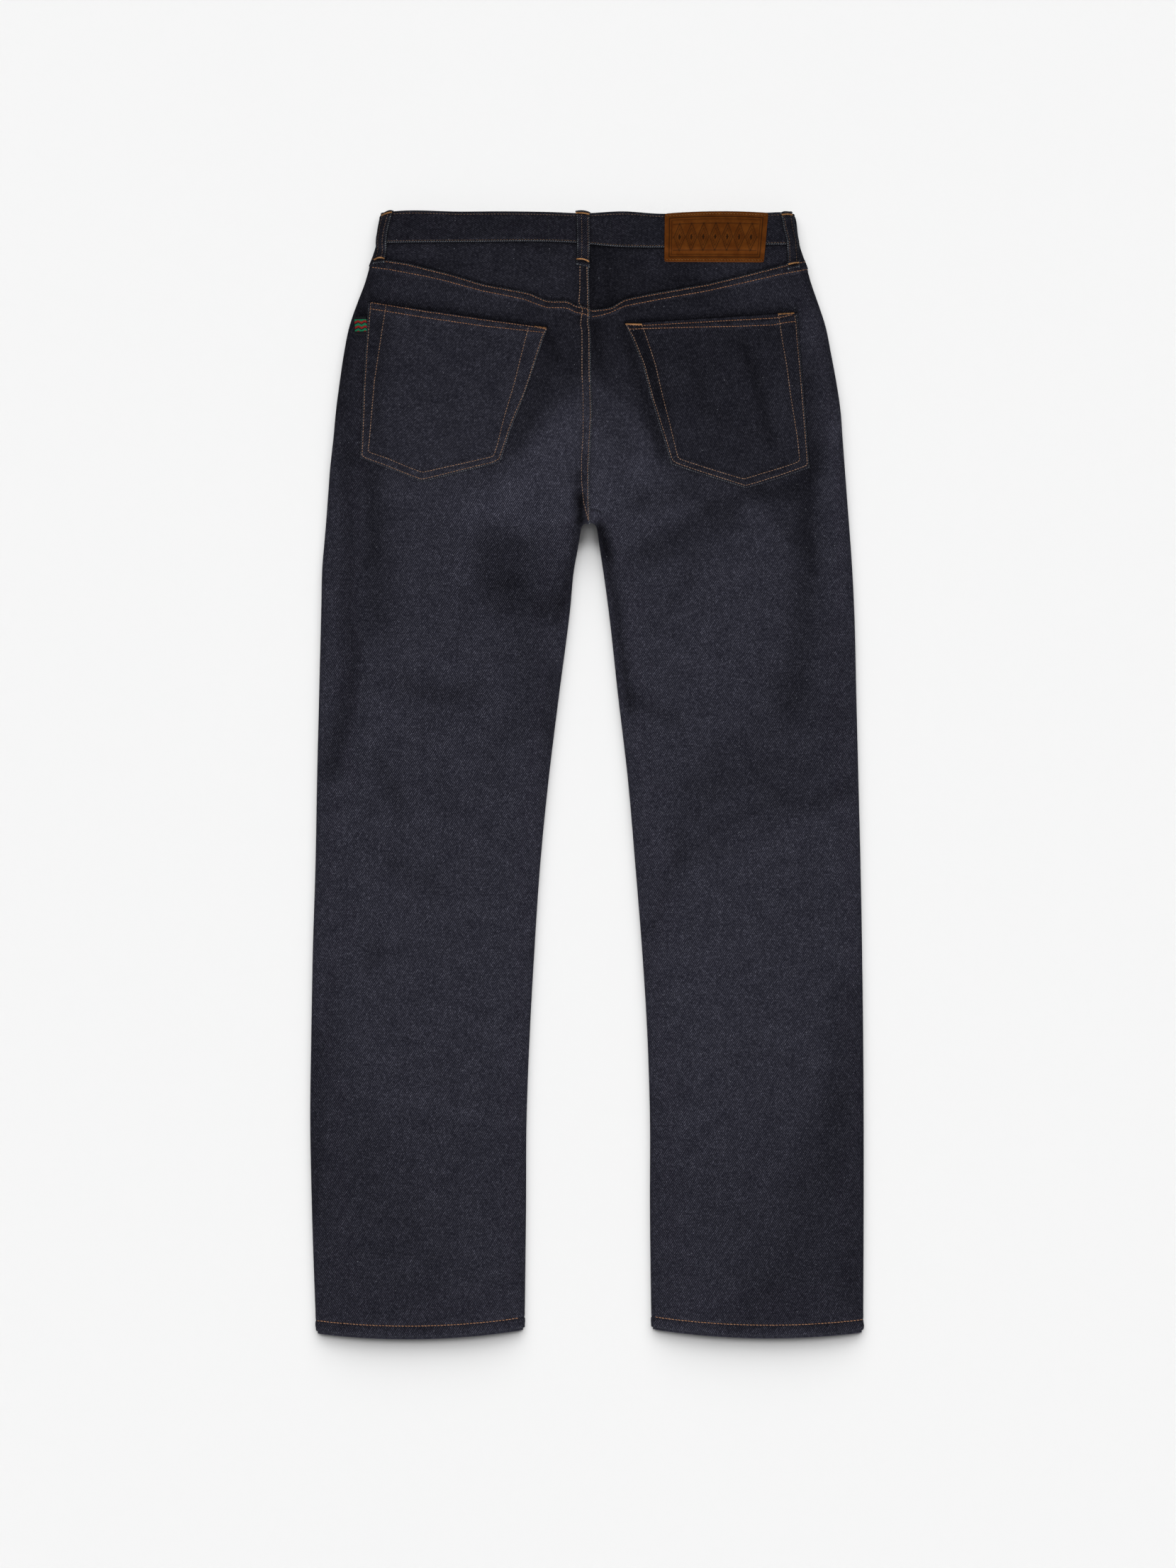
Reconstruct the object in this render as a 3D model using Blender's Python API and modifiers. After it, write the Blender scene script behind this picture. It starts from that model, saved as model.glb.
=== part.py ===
"""Straight leg jeans laid face down on a flat surface, back upwards.

The cloth is a wall through sections worked out from the tables below. X runs across the jeans towards
the wearer's right, +Y towards the waist and +Z up from the surface that the front lies on. The tables
and the working points are in millimetres, and add_cloth() turns them into metres. "Side" is -1 for
the wearer's left leg and +1 for the right. "Under" means the stretch of a fold that has turned below
the widest point of the outline, towards the front of the jeans.
"""

import math

import bmesh
import bpy
import numpy as np

MM = 0.001  # metres in a millimetre
LEFT, RIGHT = -1, 1

# Cloth and construction
DENIM = 1.2  # thickness of one ply
BAND_THICKNESS = 2.4  # the waistband is two plies with the seam turned in
BAND_STEP = 1.2  # the waistband stands this far proud of the panels
STEP_FROM, STEP_TO = -8.0, -1.0  # a piece that lies across the band's lower edge rises over this stretch of Y
SEAM_GAP = 0.3  # free space between two pieces at a seam
LAID_GAP = 0.4  # free space under a piece that lies on a panel
HEM_DEPTH = 12.7
HEM_SAG = 7.0  # how far the back of each hem bows below its corners
LOOP_WIDTH = 12.0
LOOP_LENGTH = 52.0
LOOP_THICKNESS = 2.0
LOOP_RISE = 1.6  # free space under the middle of a back loop
LOOP_ABOVE_BAND = 2.8  # how far a loop stands past the top edge of the waistband
LEATHER = 1.6
TAB_THICKNESS = 0.7
BUTTON_RADIUS = 8.5
BUTTON_THICKNESS = 2.0
FRONT_DROP = 30.0  # how much lower the waist is at the centre front than at the centre back
SCOOP_WIDTH = 90.0  # hand pocket opening, along the waistband
SCOOP_ROW = 8  # the row of the seat at which it ends, down the side seam
FACING_MARGIN = 16.0  # how far the facing reaches past the edge of the scoop
FACING_TUCK = 1.5  # how far its outer edge lies over the seam allowance of the back panel

# The folded edges
ROLL = 6.0  # height of the widest point above the cloth's underside, and radius of the turn under it
CROWN_REACH = 96.0  # distance from an edge at which the top has risen to its full height
CROWN_POWER = 4.0
OUTSEAM_INSET = 10.0  # the side seam runs under the edge, this far in from it
INSEAM_INSET = 12.0
BAND_LIFT = 3.5  # the front rises this much at the waist, over its loops and button
LIFT_FROM, LIFT_TO = 425.0, 462.0  # between these heights along Y

# Columns of points across a piece, as distances in from its folded edge
UNDER_STEPS = (6.0, 2.5, 0.6)
TOP_STEPS = (0.8, 3.0, 7.0, 14.0)
STRIP = TOP_STEPS[-1]
ACROSS_STEPS = (0.12, 0.26, 0.42, 0.58, 0.74, 0.88)

# Outline of the cloth seen from above
OUTER_EDGE = dict(
    y=(-540, -410, -329, -248, -167, -86, -5, 76, 157, 197, 232, 265, 292, 319, 346,
       373, 400, 427, 454, 467, 481, 494, 502, 514, 526, 535, 540),
    left=(-257.5, -262, -263.5, -262.5, -261, -258.5, -257, -255, -253, -252, -249, -246.5, -244.5, -241.5,
          -239, -235.5, -231.5, -226, -216.5, -211.5, -207.5, -202, -198.8, -197, -195, -193, -192),
    right=(263, 263.5, 263.5, 263, 262, 260.5, 258.5, 256.5, 254.5, 252.5, 250, 247.5, 245.5, 243.5, 241.5,
           237.5, 232.5, 227, 218, 213.5, 208.5, 202, 198.5, 196.5, 195, 193, 192),
)
INNER_EDGE = dict(
    y=(-540, -410, -329, -248, -167, -86, -5, 76, 157, 197, 213, 232),
    left=(-59.5, -58, -57.5, -54.5, -50, -44.5, -36.5, -26.5, -16, -12, -9, -5.8),
    right=(61.5, 60, 60, 57.5, 52.5, 46, 39, 29.5, 20.5, 15, 12.5, 9.8),
)
CROTCH_X, CROTCH_Y, CROTCH_RADIUS = 2.0, 239.6, 7.6  # the round top of the gap between the legs
HEM_CORNERS = {LEFT: (-533.0, -529.5), RIGHT: (-532.0, -528.8)}  # outer and inner corner of each hem

# Seams on the back
CENTRE_SEAM = dict(y=(239, 262, 300, 440, 500, 540), x=(2.0, -1.2, -2.0, -1.8, -3.2, -3.4))
YOKE_SEAM = dict(
    x=(-215, -165, -128, -97, -56, -38, -20, 3, 16, 36, 58, 97, 126, 155, 185, 215),
    y=(487, 479, 471.5, 462.5, 454, 448, 445.5, 439, 439, 446.5, 451.5, 459.5, 465.5, 473, 480.5, 487),
)
YOKE_END_Y, BAND_SEAM_Y, BAND_TOP_Y = 487.0, 504.0, 533.0  # where these lines meet the sides
BAND_SEAM = dict(x=(-205, -120, -5, 69, 125, 205), y=(505, 506.5, 505, 501.5, 503.5, 504.5))
BAND_TOP = dict(
    x=(-200, -183, -120, -80, -36, -3, 35, 68, 120, 172, 186, 200),
    y=(533.8, 535.8, 535.4, 535.6, 535, 533.8, 535.6, 533.4, 535.4, 534.4, 534.8, 532.6),
)

# Height of the top along the jeans, above the surface that they lie on
CREST = dict(
    y=(-540, -400, -200, 0, 120, 190, 240, 290, 340, 385, 430, 470, 505, 540),
    z=(19, 20, 20, 21, 22, 21, 21.5, 26, 30, 31, 28.5, 24.5, 22, 20),
)

# The largest folds: middle, half length along the fold, half width across it, direction from +X, height
FOLD_COLUMNS = ("x", "y", "along", "across", "degrees", "height")
FOLDS = (
    (-62, 232, 46, 15, 4, -3.2),  # under the seat, left
    (-112, 196, 42, 16, 74, -2.2),
    (78, 236, 62, 15, 33, -3.0),  # under the seat, right
    (-228, 118, 110, 13, 91, -1.8),  # along the left side
    (217, 262, 120, 13, 92, -2.2),  # along the right side
    (168, -22, 110, 42, 9, 3.0),  # above the right knee
    (-125, 84, 62, 17, -17, -1.5),  # above the left knee
    (44, 96, 34, 14, 118, -1.4),
    (18, 455, 40, 17, 95, -1.8),  # beside the centre back
)

# Back pockets: corners from the upper outer one, clockwise on the left and anticlockwise on the right
POCKET_CORNERS = {
    LEFT: dict(outer_top=(-206, 449), inner_top=(-38.5, 424.5), inner_low=(-83, 297.5), tip=(-156.5, 279),
               outer_low=(-215, 302)),
    RIGHT: dict(outer_top=(199.5, 439), inner_top=(37.5, 429.5), inner_low=(80.5, 295.5), tip=(151.5, 272.5),
                outer_low=(211, 293)),
}
PATCH_CORNERS = dict(
    left_top=(74, 533.2), right_top=(172, 534), right_low=(168, 487.5), left_low=(73.8, 487.5)
)
TAB_BOX = dict(left=-220.5, right=-209.3, low=418.0, top=435.0)
LOOP_CENTRE_X = -3.4
LOOP_ROWS, LOOP_COLUMNS = 13, 5
SIDE_LOOPS = {LEFT: -0.5, RIGHT: 1.5}  # distance round the edge from its widest point to the loop
FRONT_LOOP_X = 104.0

FINISHES = {
    "denim": dict(colour=(0.026, 0.027, 0.042), roughness=0.9, metallic=0.0),
    "leather": dict(colour=(0.16, 0.058, 0.012), roughness=0.6, metallic=0.0),
    "woven_tab": dict(colour=(0.03, 0.22, 0.10), roughness=0.8, metallic=0.0),
    "antique_metal": dict(colour=(0.30, 0.17, 0.09), roughness=0.4, metallic=1.0),
}


# ---------------------------------------------------------------- curves and the shape of the cloth


def curve_through(xs, ys):
    """A smooth function through the points, whose slope at each comes from its neighbours."""
    xs, ys = np.array(xs, float), np.array(ys, float)
    slopes = np.gradient(ys, xs)

    def value(x):
        x = min(max(x, xs[0]), xs[-1])
        i = min(max(int(np.searchsorted(xs, x)) - 1, 0), len(xs) - 2)
        span = xs[i + 1] - xs[i]
        t = (x - xs[i]) / span
        ends = (1 + 2 * t) * (1 - t) ** 2 * ys[i] + t * t * (3 - 2 * t) * ys[i + 1]
        return ends + t * (1 - t) * span * ((1 - t) * slopes[i] - t * slopes[i + 1])

    return value


outer_edge = {
    LEFT: curve_through(OUTER_EDGE["y"], OUTER_EDGE["left"]),
    RIGHT: curve_through(OUTER_EDGE["y"], OUTER_EDGE["right"]),
}
inner_edge = {
    LEFT: curve_through(INNER_EDGE["y"], INNER_EDGE["left"]),
    RIGHT: curve_through(INNER_EDGE["y"], INNER_EDGE["right"]),
}
centre_seam = curve_through(CENTRE_SEAM["y"], CENTRE_SEAM["x"])
yoke_seam = curve_through(YOKE_SEAM["x"], YOKE_SEAM["y"])
band_seam = curve_through(BAND_SEAM["x"], BAND_SEAM["y"])
band_top = curve_through(BAND_TOP["x"], BAND_TOP["y"])
crest = curve_through(CREST["y"], CREST["z"])


def smooth_step(t):
    t = min(max(t, 0.0), 1.0)
    return t * t * (3 - 2 * t)


def mix(a, b, t):
    return a + (b - a) * t


def arch_point(side, degrees):
    """(edge point, direction into the cloth) round the top of the gap: 0 at the leg, 90 at the crotch."""
    turn = math.radians(degrees)
    into = np.array([side * math.cos(turn), math.sin(turn)])
    middle = np.array([CROTCH_X + side * SEAM_GAP / 2, CROTCH_Y - CROTCH_RADIUS])
    return middle + CROTCH_RADIUS * into, into


def gap_outline():
    """Points down the gap between the legs, from the left hem round the crotch to the right hem."""
    heights = np.arange(-540, CROTCH_Y - CROTCH_RADIUS, 6.0)
    left = [(inner_edge[LEFT](y), y) for y in heights]
    right = [(inner_edge[RIGHT](y), y) for y in heights]
    round_left = [arch_point(LEFT, a)[0] for a in range(0, 91, 15)]
    round_right = [arch_point(RIGHT, a)[0] for a in range(90, -1, -15)]
    return np.array([*left, *round_left, *round_right, *right[::-1]])


GAP_OUTLINE = gap_outline()


def distance_to_gap(x, y):
    start, step = GAP_OUTLINE[:-1], np.diff(GAP_OUTLINE, axis=0)
    to_point = np.array([x, y]) - start
    t = np.clip((to_point * step).sum(1) / np.maximum((step * step).sum(1), 1e-9), 0, 1)
    return float(np.sqrt(((to_point - step * t[:, None]) ** 2).sum(1).min()))


def side_of(x, y):
    return LEFT if x < centre_seam(max(y, CROTCH_Y)) else RIGHT


def floor_height(y):
    """Height of the cloth's underside, which rises at the waist to clear the front loops and button."""
    return BAND_LIFT * smooth_step((y - LIFT_FROM) / (LIFT_TO - LIFT_FROM))


def edge_height(y):
    return floor_height(y) + ROLL


def rounding(distance):
    """0 at a folded edge, rising to 1 where the top has reached its full height."""
    t = min(max(distance / CROWN_REACH, 0.0), 1.0)
    return math.sqrt(1 - (1 - t) ** CROWN_POWER)


def folds(x, y):
    total = 0.0
    for row in FOLDS:
        fold = dict(zip(FOLD_COLUMNS, row))
        turn = math.radians(fold["degrees"])
        dx, dy = x - fold["x"], y - fold["y"]
        along = (dx * math.cos(turn) + dy * math.sin(turn)) / fold["along"]
        across = (dy * math.cos(turn) - dx * math.sin(turn)) / fold["across"]
        total += fold["height"] * math.exp(-along * along - across * across)
    return total


def top_height(x, y, from_outer=None, from_gap=None):
    """Height of the outside of the back. A distance from an edge is given where it is known exactly."""
    side = side_of(x, y)
    if from_outer is None:
        from_outer = (x - outer_edge[side](y)) * -side
    if from_gap is None:
        from_gap = distance_to_gap(x, y)
    base = edge_height(y)
    risen = rounding(from_outer) * rounding(from_gap)
    return base + (crest(y) - base + folds(x, y)) * risen


def under_height(y, from_edge):
    turned = 1 - min(from_edge / ROLL, 1.0)
    return floor_height(y) + ROLL * (1 - math.sqrt(1 - turned * turned))


def front_drop(x, y):
    """How much lower the waist is in front, at this distance from the sides."""
    half = abs(outer_edge[side_of(x, y)](y))
    return FRONT_DROP * max(1 - (x / half) ** 2, 0.0)


def hem_line(side, share, under):
    """Height along Y of the hem, at a share of the way from its outer to its inner corner."""
    outer, inner = HEM_CORNERS[side]
    sag = 0.0 if under else HEM_SAG * 4 * share * (1 - share)
    return mix(outer, inner, min(max(share, 0.0), 1.0)) - max(sag, 0.0)


# ---------------------------------------------------------------- rows of points


class LegRow:
    """One row across a leg: its outer edge lies at height y, and its inner edge at a point of the gap."""

    def __init__(self, side, edge, into, hem_share=0.0):
        self.side, self.edge, self.into, self.hem_share = side, edge, into, hem_share
        self.y = float((edge + STRIP * into)[1])

    def outer_x(self, from_edge):
        return outer_edge[self.side](self.y) - self.side * from_edge

    def hem_shift(self, x, under):
        """What moves the lowest rows on to the hem line, and fades out up the leg."""
        if self.hem_share <= 0:
            return 0.0
        share = (x - self.outer_x(0)) / (self.edge[0] - self.outer_x(0))
        return self.hem_share * (hem_line(self.side, share, under) - HEM_CORNERS[self.side][0])

    def outer_point(self, from_edge, under):
        x = self.outer_x(from_edge)
        y = self.y + self.hem_shift(x, under)
        if under:
            return x, y, under_height(y, from_edge)
        return x, y, top_height(x, y, from_outer=from_edge)

    def inner_point(self, from_edge, under):
        x, y = self.edge + from_edge * self.into
        y = y + self.hem_shift(x, under)
        if under:
            return x, y, under_height(y, from_edge)
        return x, y, top_height(x, y, from_gap=from_edge)

    def across_point(self, share, start, end):
        """A point on the top, part of the way between two others of the row."""
        x = mix(start[0], end[0], share)
        y = self.y + self.hem_shift(x, False)
        return x, y, top_height(x, y)


LEG_STATIONS = (*np.linspace(-400, 80, 11), *np.linspace(102, 226, 9))
HEM_STATIONS = ((0.0, 1.0), (HEM_DEPTH + 2, 0.93), (52.0, 0.6), (90.0, 0.25))  # height above the hem, share
ARCH_DEGREES = (12, 38, 64, 90)
SEAT_ROWS = 11  # from the crotch to the yoke seam


def leg_rows(side):
    """Rows from the hem up the leg and round the arch of the gap to the crotch."""
    rows = []
    foot = HEM_CORNERS[side][0]
    heights = [(foot + up, share) for up, share in HEM_STATIONS] + [(y, 0.0) for y in LEG_STATIONS]
    for y, share in heights:
        slope = (inner_edge[side](y + 1) - inner_edge[side](y - 1)) / 2
        into = np.array([side, -side * slope]) / math.hypot(1, slope)
        rows.append(LegRow(side, np.array([inner_edge[side](y), y]), into, share))
    rows += [LegRow(side, *arch_point(side, a)) for a in ARCH_DEGREES]
    return rows


def back_leg_points(row):
    """A row of the back panel, from the side seam over the top to the inseam."""
    points = [row.outer_point(d, True) for d in (OUTSEAM_INSET, *UNDER_STEPS)]
    points += [row.outer_point(d, False) for d in (0.0, *TOP_STEPS)]
    inner = [row.inner_point(d, False) for d in (*TOP_STEPS[::-1], 0.0)]
    points += [row.across_point(t, points[-1], inner[0]) for t in ACROSS_STEPS]
    points += inner
    points += [row.inner_point(d, True) for d in (*UNDER_STEPS[::-1], INSEAM_INSET)]
    return points


BODY_COLUMNS = 1 + len(UNDER_STEPS) + 1 + len(TOP_STEPS) + len(ACROSS_STEPS) + 1  # side seam to centre seam


def body_column(side, column, y):
    """(x, under, distance from the side) of a column of the seat, yoke and waistband at a height along Y."""
    edge = outer_edge[side](y)
    if column < 1 + len(UNDER_STEPS):
        inset = (OUTSEAM_INSET, *UNDER_STEPS)[column]
        return edge - side * inset, True, inset
    column -= 1 + len(UNDER_STEPS)
    if column < 1 + len(TOP_STEPS):
        inset = (0.0, *TOP_STEPS)[column]
        return edge - side * inset, False, inset
    share = (*ACROSS_STEPS, 1.0)[column - 1 - len(TOP_STEPS)]
    start = edge - side * STRIP
    centre = centre_seam(y) + side * SEAM_GAP / 2
    x = mix(start, centre, share)
    return x, False, abs(x - edge)


def body_point(side, column, low, high, share):
    """A point of a column, a share of the way from one seam to the next. These give y from (x, under)."""
    y = 400.0
    for _ in range(6):
        x, under, inset = body_column(side, column, y)
        y = mix(low(x, under), high(x, under), share)
    if under:
        return x, y, under_height(y, inset)
    return x, y, top_height(x, y, from_outer=inset)


def upper_yoke_line(x, under):
    side = side_of(x, YOKE_END_Y)
    return yoke_seam(outer_edge[side](YOKE_END_Y)) if under else yoke_seam(x)


def band_seam_line(x, under):
    return band_seam(x) - (front_drop(x, BAND_SEAM_Y) if under else 0.0)


def band_top_line(x, under):
    return band_top(x) - (front_drop(x, BAND_TOP_Y) if under else 0.0)


def above(line):
    return lambda x, under: line(x, under) + SEAM_GAP / 2


def below(line):
    return lambda x, under: line(x, under) - SEAM_GAP / 2


# ---------------------------------------------------------------- turning rows into solids


def grid_normals(rows, closed=False):
    """A unit normal at each point of the rows, from its neighbours. Rows go up and columns to the right."""
    points = np.array(rows, float)
    if closed:
        wrapped = np.concatenate([points[:, -1:], points, points[:, :1]], axis=1)
        across = (wrapped[:, 2:] - wrapped[:, :-2]) / 2
    else:
        across = np.gradient(points, axis=1)
    normals = np.cross(across, np.gradient(points, axis=0))
    return normals / np.linalg.norm(normals, axis=2, keepdims=True)


def moved_out(rows, distance, facing=1, closed=False):
    """The rows moved along their normals, by one distance or by a list with one for each row."""
    distances = np.array(distance, float).reshape(-1, 1, 1)
    return np.array(rows, float) + facing * grid_normals(rows, closed) * distances


def laid_lifts(ys, band_low):
    """How far above the cloth a piece lies at each height along Y, across the waistband's lower edge."""
    step = [smooth_step((y - band_low - STEP_FROM) / (STEP_TO - STEP_FROM)) for y in ys]
    return LAID_GAP + BAND_STEP * np.array(step)


def finish(name):
    material = bpy.data.materials.get(name)
    if material is None:
        look = FINISHES[name]
        material = bpy.data.materials.new(name)
        material.use_nodes = True
        shader = material.node_tree.nodes["Principled BSDF"]
        shader.inputs["Base Color"].default_value = (*look["colour"], 1.0)
        shader.inputs["Roughness"].default_value = look["roughness"]
        shader.inputs["Metallic"].default_value = look["metallic"]
        material.diffuse_color = (*look["colour"], 1.0)
    return material


def add_cloth(name, rows, thickness, material="denim", facing=1, outward=False, closed=False):
    """An open sheet through the rows, given its thickness. A row may be shorter than the one below it.

    The sheet's normals point up from a row that runs to the right, or the other way with facing -1. The
    thickness goes against the normals, or along them with outward set.
    """
    mesh = bpy.data.meshes.new(name)
    sheet = bmesh.new()
    grid = [[sheet.verts.new(tuple(float(v) * MM for v in p)) for p in row] for row in rows]
    for low, high in zip(grid, grid[1:]):
        count = len(high) if closed else len(high) - 1
        for j in range(count):
            k = (j + 1) % len(high)
            corners = (low[j], low[k], high[k], high[j])
            sheet.faces.new(corners if facing > 0 else corners[::-1])
    sheet.to_mesh(mesh)
    sheet.free()
    cloth = bpy.data.objects.new(name, mesh)
    jeans.objects.link(cloth)
    mesh.materials.append(finish(material))
    mesh.shade_smooth()
    solid = cloth.modifiers.new("thickness", "SOLIDIFY")
    solid.thickness = thickness * MM
    solid.offset = 1.0 if outward else -1.0
    solid.use_even_offset = True
    return cloth


# ---------------------------------------------------------------- the back


def crotch_line(x, under):
    return CROTCH_Y + STRIP


def seat_row(side, index):
    """A row of the back panel above the crotch, from the side seam to the centre seam."""
    share = index / SEAT_ROWS
    return [body_point(side, c, crotch_line, below(upper_yoke_line), share) for c in range(BODY_COLUMNS)]


def back_panel(side, name):
    rows = [back_leg_points(row) for row in leg_rows(side)]
    rows += [seat_row(side, k) for k in range(1, SEAT_ROWS + 1)]
    return add_cloth(name, rows, DENIM, facing=-side)


def yoke(side, name):
    shares = np.linspace(0, 1, 4)
    rows = [
        [body_point(side, c, above(upper_yoke_line), below(band_seam_line), t) for c in range(BODY_COLUMNS)]
        for t in shares
    ]
    return add_cloth(name, rows, DENIM, facing=-side)


def hem(side, name):
    """The turned-up ply inside a leg end: a ring through the same points as the panels, moved in."""
    foot = HEM_CORNERS[side][0]
    rows = []
    for up in (0.4, HEM_DEPTH / 2, HEM_DEPTH):
        y = foot + up
        row = LegRow(side, np.array([inner_edge[side](y), y]), np.array([float(side), 0.0]), 1.0)
        top = back_leg_points(row)
        rows.append(top + front_leg_points(row, shares=(0.25, 0.5, 0.75), ends=False)[::-1])
    inside = moved_out(rows, -(DENIM + SEAM_GAP), facing=-side, closed=True)
    return add_cloth(name, inside, DENIM, facing=-side, closed=True)


def on_top(x, y):
    return x, y, top_height(x, y)


def back_pocket(side, name):
    corner = {k: np.array(v, float) for k, v in POCKET_CORNERS[side].items()}
    tip_share = 0.44  # how far along the lower edge its point lies
    shares = [*np.linspace(0, tip_share, 5), *np.linspace(tip_share, 1, 6)[1:]]
    rows = []
    for up in np.linspace(0, 1, 9):
        row = []
        for s in shares:
            if s <= tip_share:
                low = mix(corner["outer_low"], corner["tip"], s / tip_share)
            else:
                low = mix(corner["tip"], corner["inner_low"], (s - tip_share) / (1 - tip_share))
            top = mix(corner["outer_top"], corner["inner_top"], s)
            row.append(on_top(*mix(low, top, up)))
        rows.append(row)
    lifted = moved_out(rows, LAID_GAP, facing=-side)
    return add_cloth(name, lifted, DENIM, facing=-side, outward=True)


def leather_patch():
    corner = {k: np.array(v, float) for k, v in PATCH_CORNERS.items()}
    rows = []
    for up in (0.0, 0.12, 0.24, 0.33, 0.42, 0.6, 0.8, 1.0):
        left = mix(corner["left_low"], corner["left_top"], up)
        right = mix(corner["right_low"], corner["right_top"], up)
        rows.append([on_top(*mix(left, right, t)) for t in np.linspace(0, 1, 9)])
    band_low = band_seam((corner["left_low"][0] + corner["right_low"][0]) / 2)
    lifts = laid_lifts([row[0][1] for row in rows], band_low)
    return add_cloth("leather_patch", moved_out(rows, lifts), LEATHER, "leather", outward=True)


def side_tab():
    box = TAB_BOX
    rows = [
        [on_top(x, y) for x in np.linspace(box["left"], box["right"], 4)]
        for y in np.linspace(box["low"], box["top"], 4)
    ]
    return add_cloth("side_tab", moved_out(rows, LAID_GAP), TAB_THICKNESS, "woven_tab", outward=True)


# ---------------------------------------------------------------- the waistband and its loops


BAND_SHARES = (0.0, 0.35, 0.7, 1.0)
FRONT_BAND_X = (167.0, 133.0, 95.0, 60.0, 30.0)  # columns across each half of the front
OVER_END = (17.0, 0.0, -12.0)  # the buttonhole end, which reaches past the centre front
UNDER_END = (17.0, 0.0, -14.0)  # the button end, which lies inside the other
LAP_RISE = BAND_THICKNESS + SEAM_GAP + 0.2


def band_front_column(x, rise=0.0):
    column = []
    for t in BAND_SHARES:
        y = mix(band_seam_line(x, True) + SEAM_GAP / 2, band_top_line(x, True), t)
        column.append((x, y, floor_height(y) + rise))
    return column


def band_back_column(side, index):
    return [body_point(side, index, above(band_seam_line), band_top_line, t) for t in BAND_SHARES]


def waistband():
    """One band all round, from its over end at the centre front to the under end that it is buttoned to."""
    columns = [band_front_column(-x) for x in OVER_END[::-1]]
    columns += [band_front_column(-x) for x in FRONT_BAND_X[::-1]]
    columns += [band_back_column(LEFT, c) for c in range(BODY_COLUMNS - 1)]
    columns += [band_back_column(RIGHT, c) for c in range(BODY_COLUMNS - 2, -1, -1)]
    columns += [band_front_column(x) for x in FRONT_BAND_X]
    columns += [band_front_column(x, LAP_RISE) for x in UNDER_END]
    rows = [[column[i] for column in columns] for i in range(len(BAND_SHARES))]
    return add_cloth("waistband", moved_out(rows, BAND_STEP), BAND_THICKNESS)


def round_the_side(side, y, distance):
    """The point on the outside at a height along Y, this far round the edge from its widest point."""
    inset = [0.04 * k * k for k in range(26)]
    edge = outer_edge[side](y)
    if distance >= 0:
        path = [(edge - side * d, top_height(edge - side * d, y, from_outer=d)) for d in inset]
    else:
        path = [(edge - side * d, under_height(y, d)) for d in inset]
    run = np.concatenate([[0], np.cumsum([math.dist(a, b) for a, b in zip(path, path[1:])])])
    x = np.interp(abs(distance), run, [p[0] for p in path])
    z = np.interp(abs(distance), run, [p[1] for p in path])
    return float(x), y, float(z)


def back_loop(name, side=None):
    """A belt loop on the back: the centre one with no side given, or one that turns round the side."""
    centre = side is None
    top = band_top(LOOP_CENTRE_X if centre else outer_edge[side](BAND_TOP_Y)) + LOOP_ABOVE_BAND
    band_low = band_seam(LOOP_CENTRE_X if centre else outer_edge[side](BAND_SEAM_Y))
    ups = np.linspace(0, 1, LOOP_ROWS)
    ys = top - LOOP_LENGTH * (1 - ups)
    across = np.linspace(0, LOOP_WIDTH, LOOP_COLUMNS)
    if centre:
        rows = [[on_top(LOOP_CENTRE_X - LOOP_WIDTH / 2 + a, y) for a in across] for y in ys]
    else:
        rows = [[round_the_side(side, y, SIDE_LOOPS[side] + a) for a in across] for y in ys]
    facing = 1 if centre else -side
    free = LOOP_RISE * np.sin(math.pi * ups) ** 2
    lifted = moved_out(rows, laid_lifts(ys, band_low) + free, facing=facing)
    return add_cloth(name, lifted, LOOP_THICKNESS, facing=facing, outward=True)


def front_loop(side, name):
    """A belt loop pressed flat between the waistband and the surface."""
    x = side * FRONT_LOOP_X
    top = band_top_line(x, True) + LOOP_ABOVE_BAND
    rows = [
        [(x + a, y, 0.0) for a in np.linspace(-LOOP_WIDTH / 2, LOOP_WIDTH / 2, 3)]
        for y in np.linspace(top - LOOP_LENGTH, top, 5)
    ]
    return add_cloth(name, rows, LOOP_THICKNESS, outward=True)


def waist_button():
    """A domed tack button: a profile turned about its own axis, with its face on the surface."""
    y = band_top_line(0.0, True) - 15.0
    r, t = BUTTON_RADIUS, BUTTON_THICKNESS
    edge, rim, dish = 0.7, 2.2, 0.5
    profile = [(0, t), (r - edge, t), (r, t - edge), (r, edge), (r - edge, 0), (r - rim, 0)]
    profile += [(r - rim - dish, dish), (0, dish)]
    mesh = bpy.data.meshes.new("waist_button")
    outline = bmesh.new()
    points = [outline.verts.new((x * MM, 0, z * MM)) for x, z in profile]
    for a, b in zip(points, points[1:]):
        outline.edges.new((a, b))
    outline.to_mesh(mesh)
    outline.free()
    button = bpy.data.objects.new("waist_button", mesh)
    jeans.objects.link(button)
    mesh.materials.append(finish("antique_metal"))
    turn = button.modifiers.new("turn", "SCREW")
    turn.steps = turn.render_steps = 24
    turn.use_merge_vertices = True
    turn.merge_threshold = 0.0001
    button.location = (0, y * MM, 0)
    return button


# ---------------------------------------------------------------- the front


FRONT_SHARES = (0.2, 0.4, 0.6, 0.8)


def front_leg_points(row, shares=FRONT_SHARES, ends=True):
    """A row of the front panel, from the side seam to the inseam, flat on the surface."""
    gap = SEAM_GAP if ends else 0.0
    start = row.outer_point(OUTSEAM_INSET + gap, True)
    end = row.inner_point(INSEAM_INSET + gap, True)
    points = [start] if ends else []
    for t in shares:
        x, y = mix(start[0], end[0], t), mix(start[1], end[1], t)
        points.append((x, y, floor_height(y)))
    return points + ([end] if ends else [])


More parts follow.
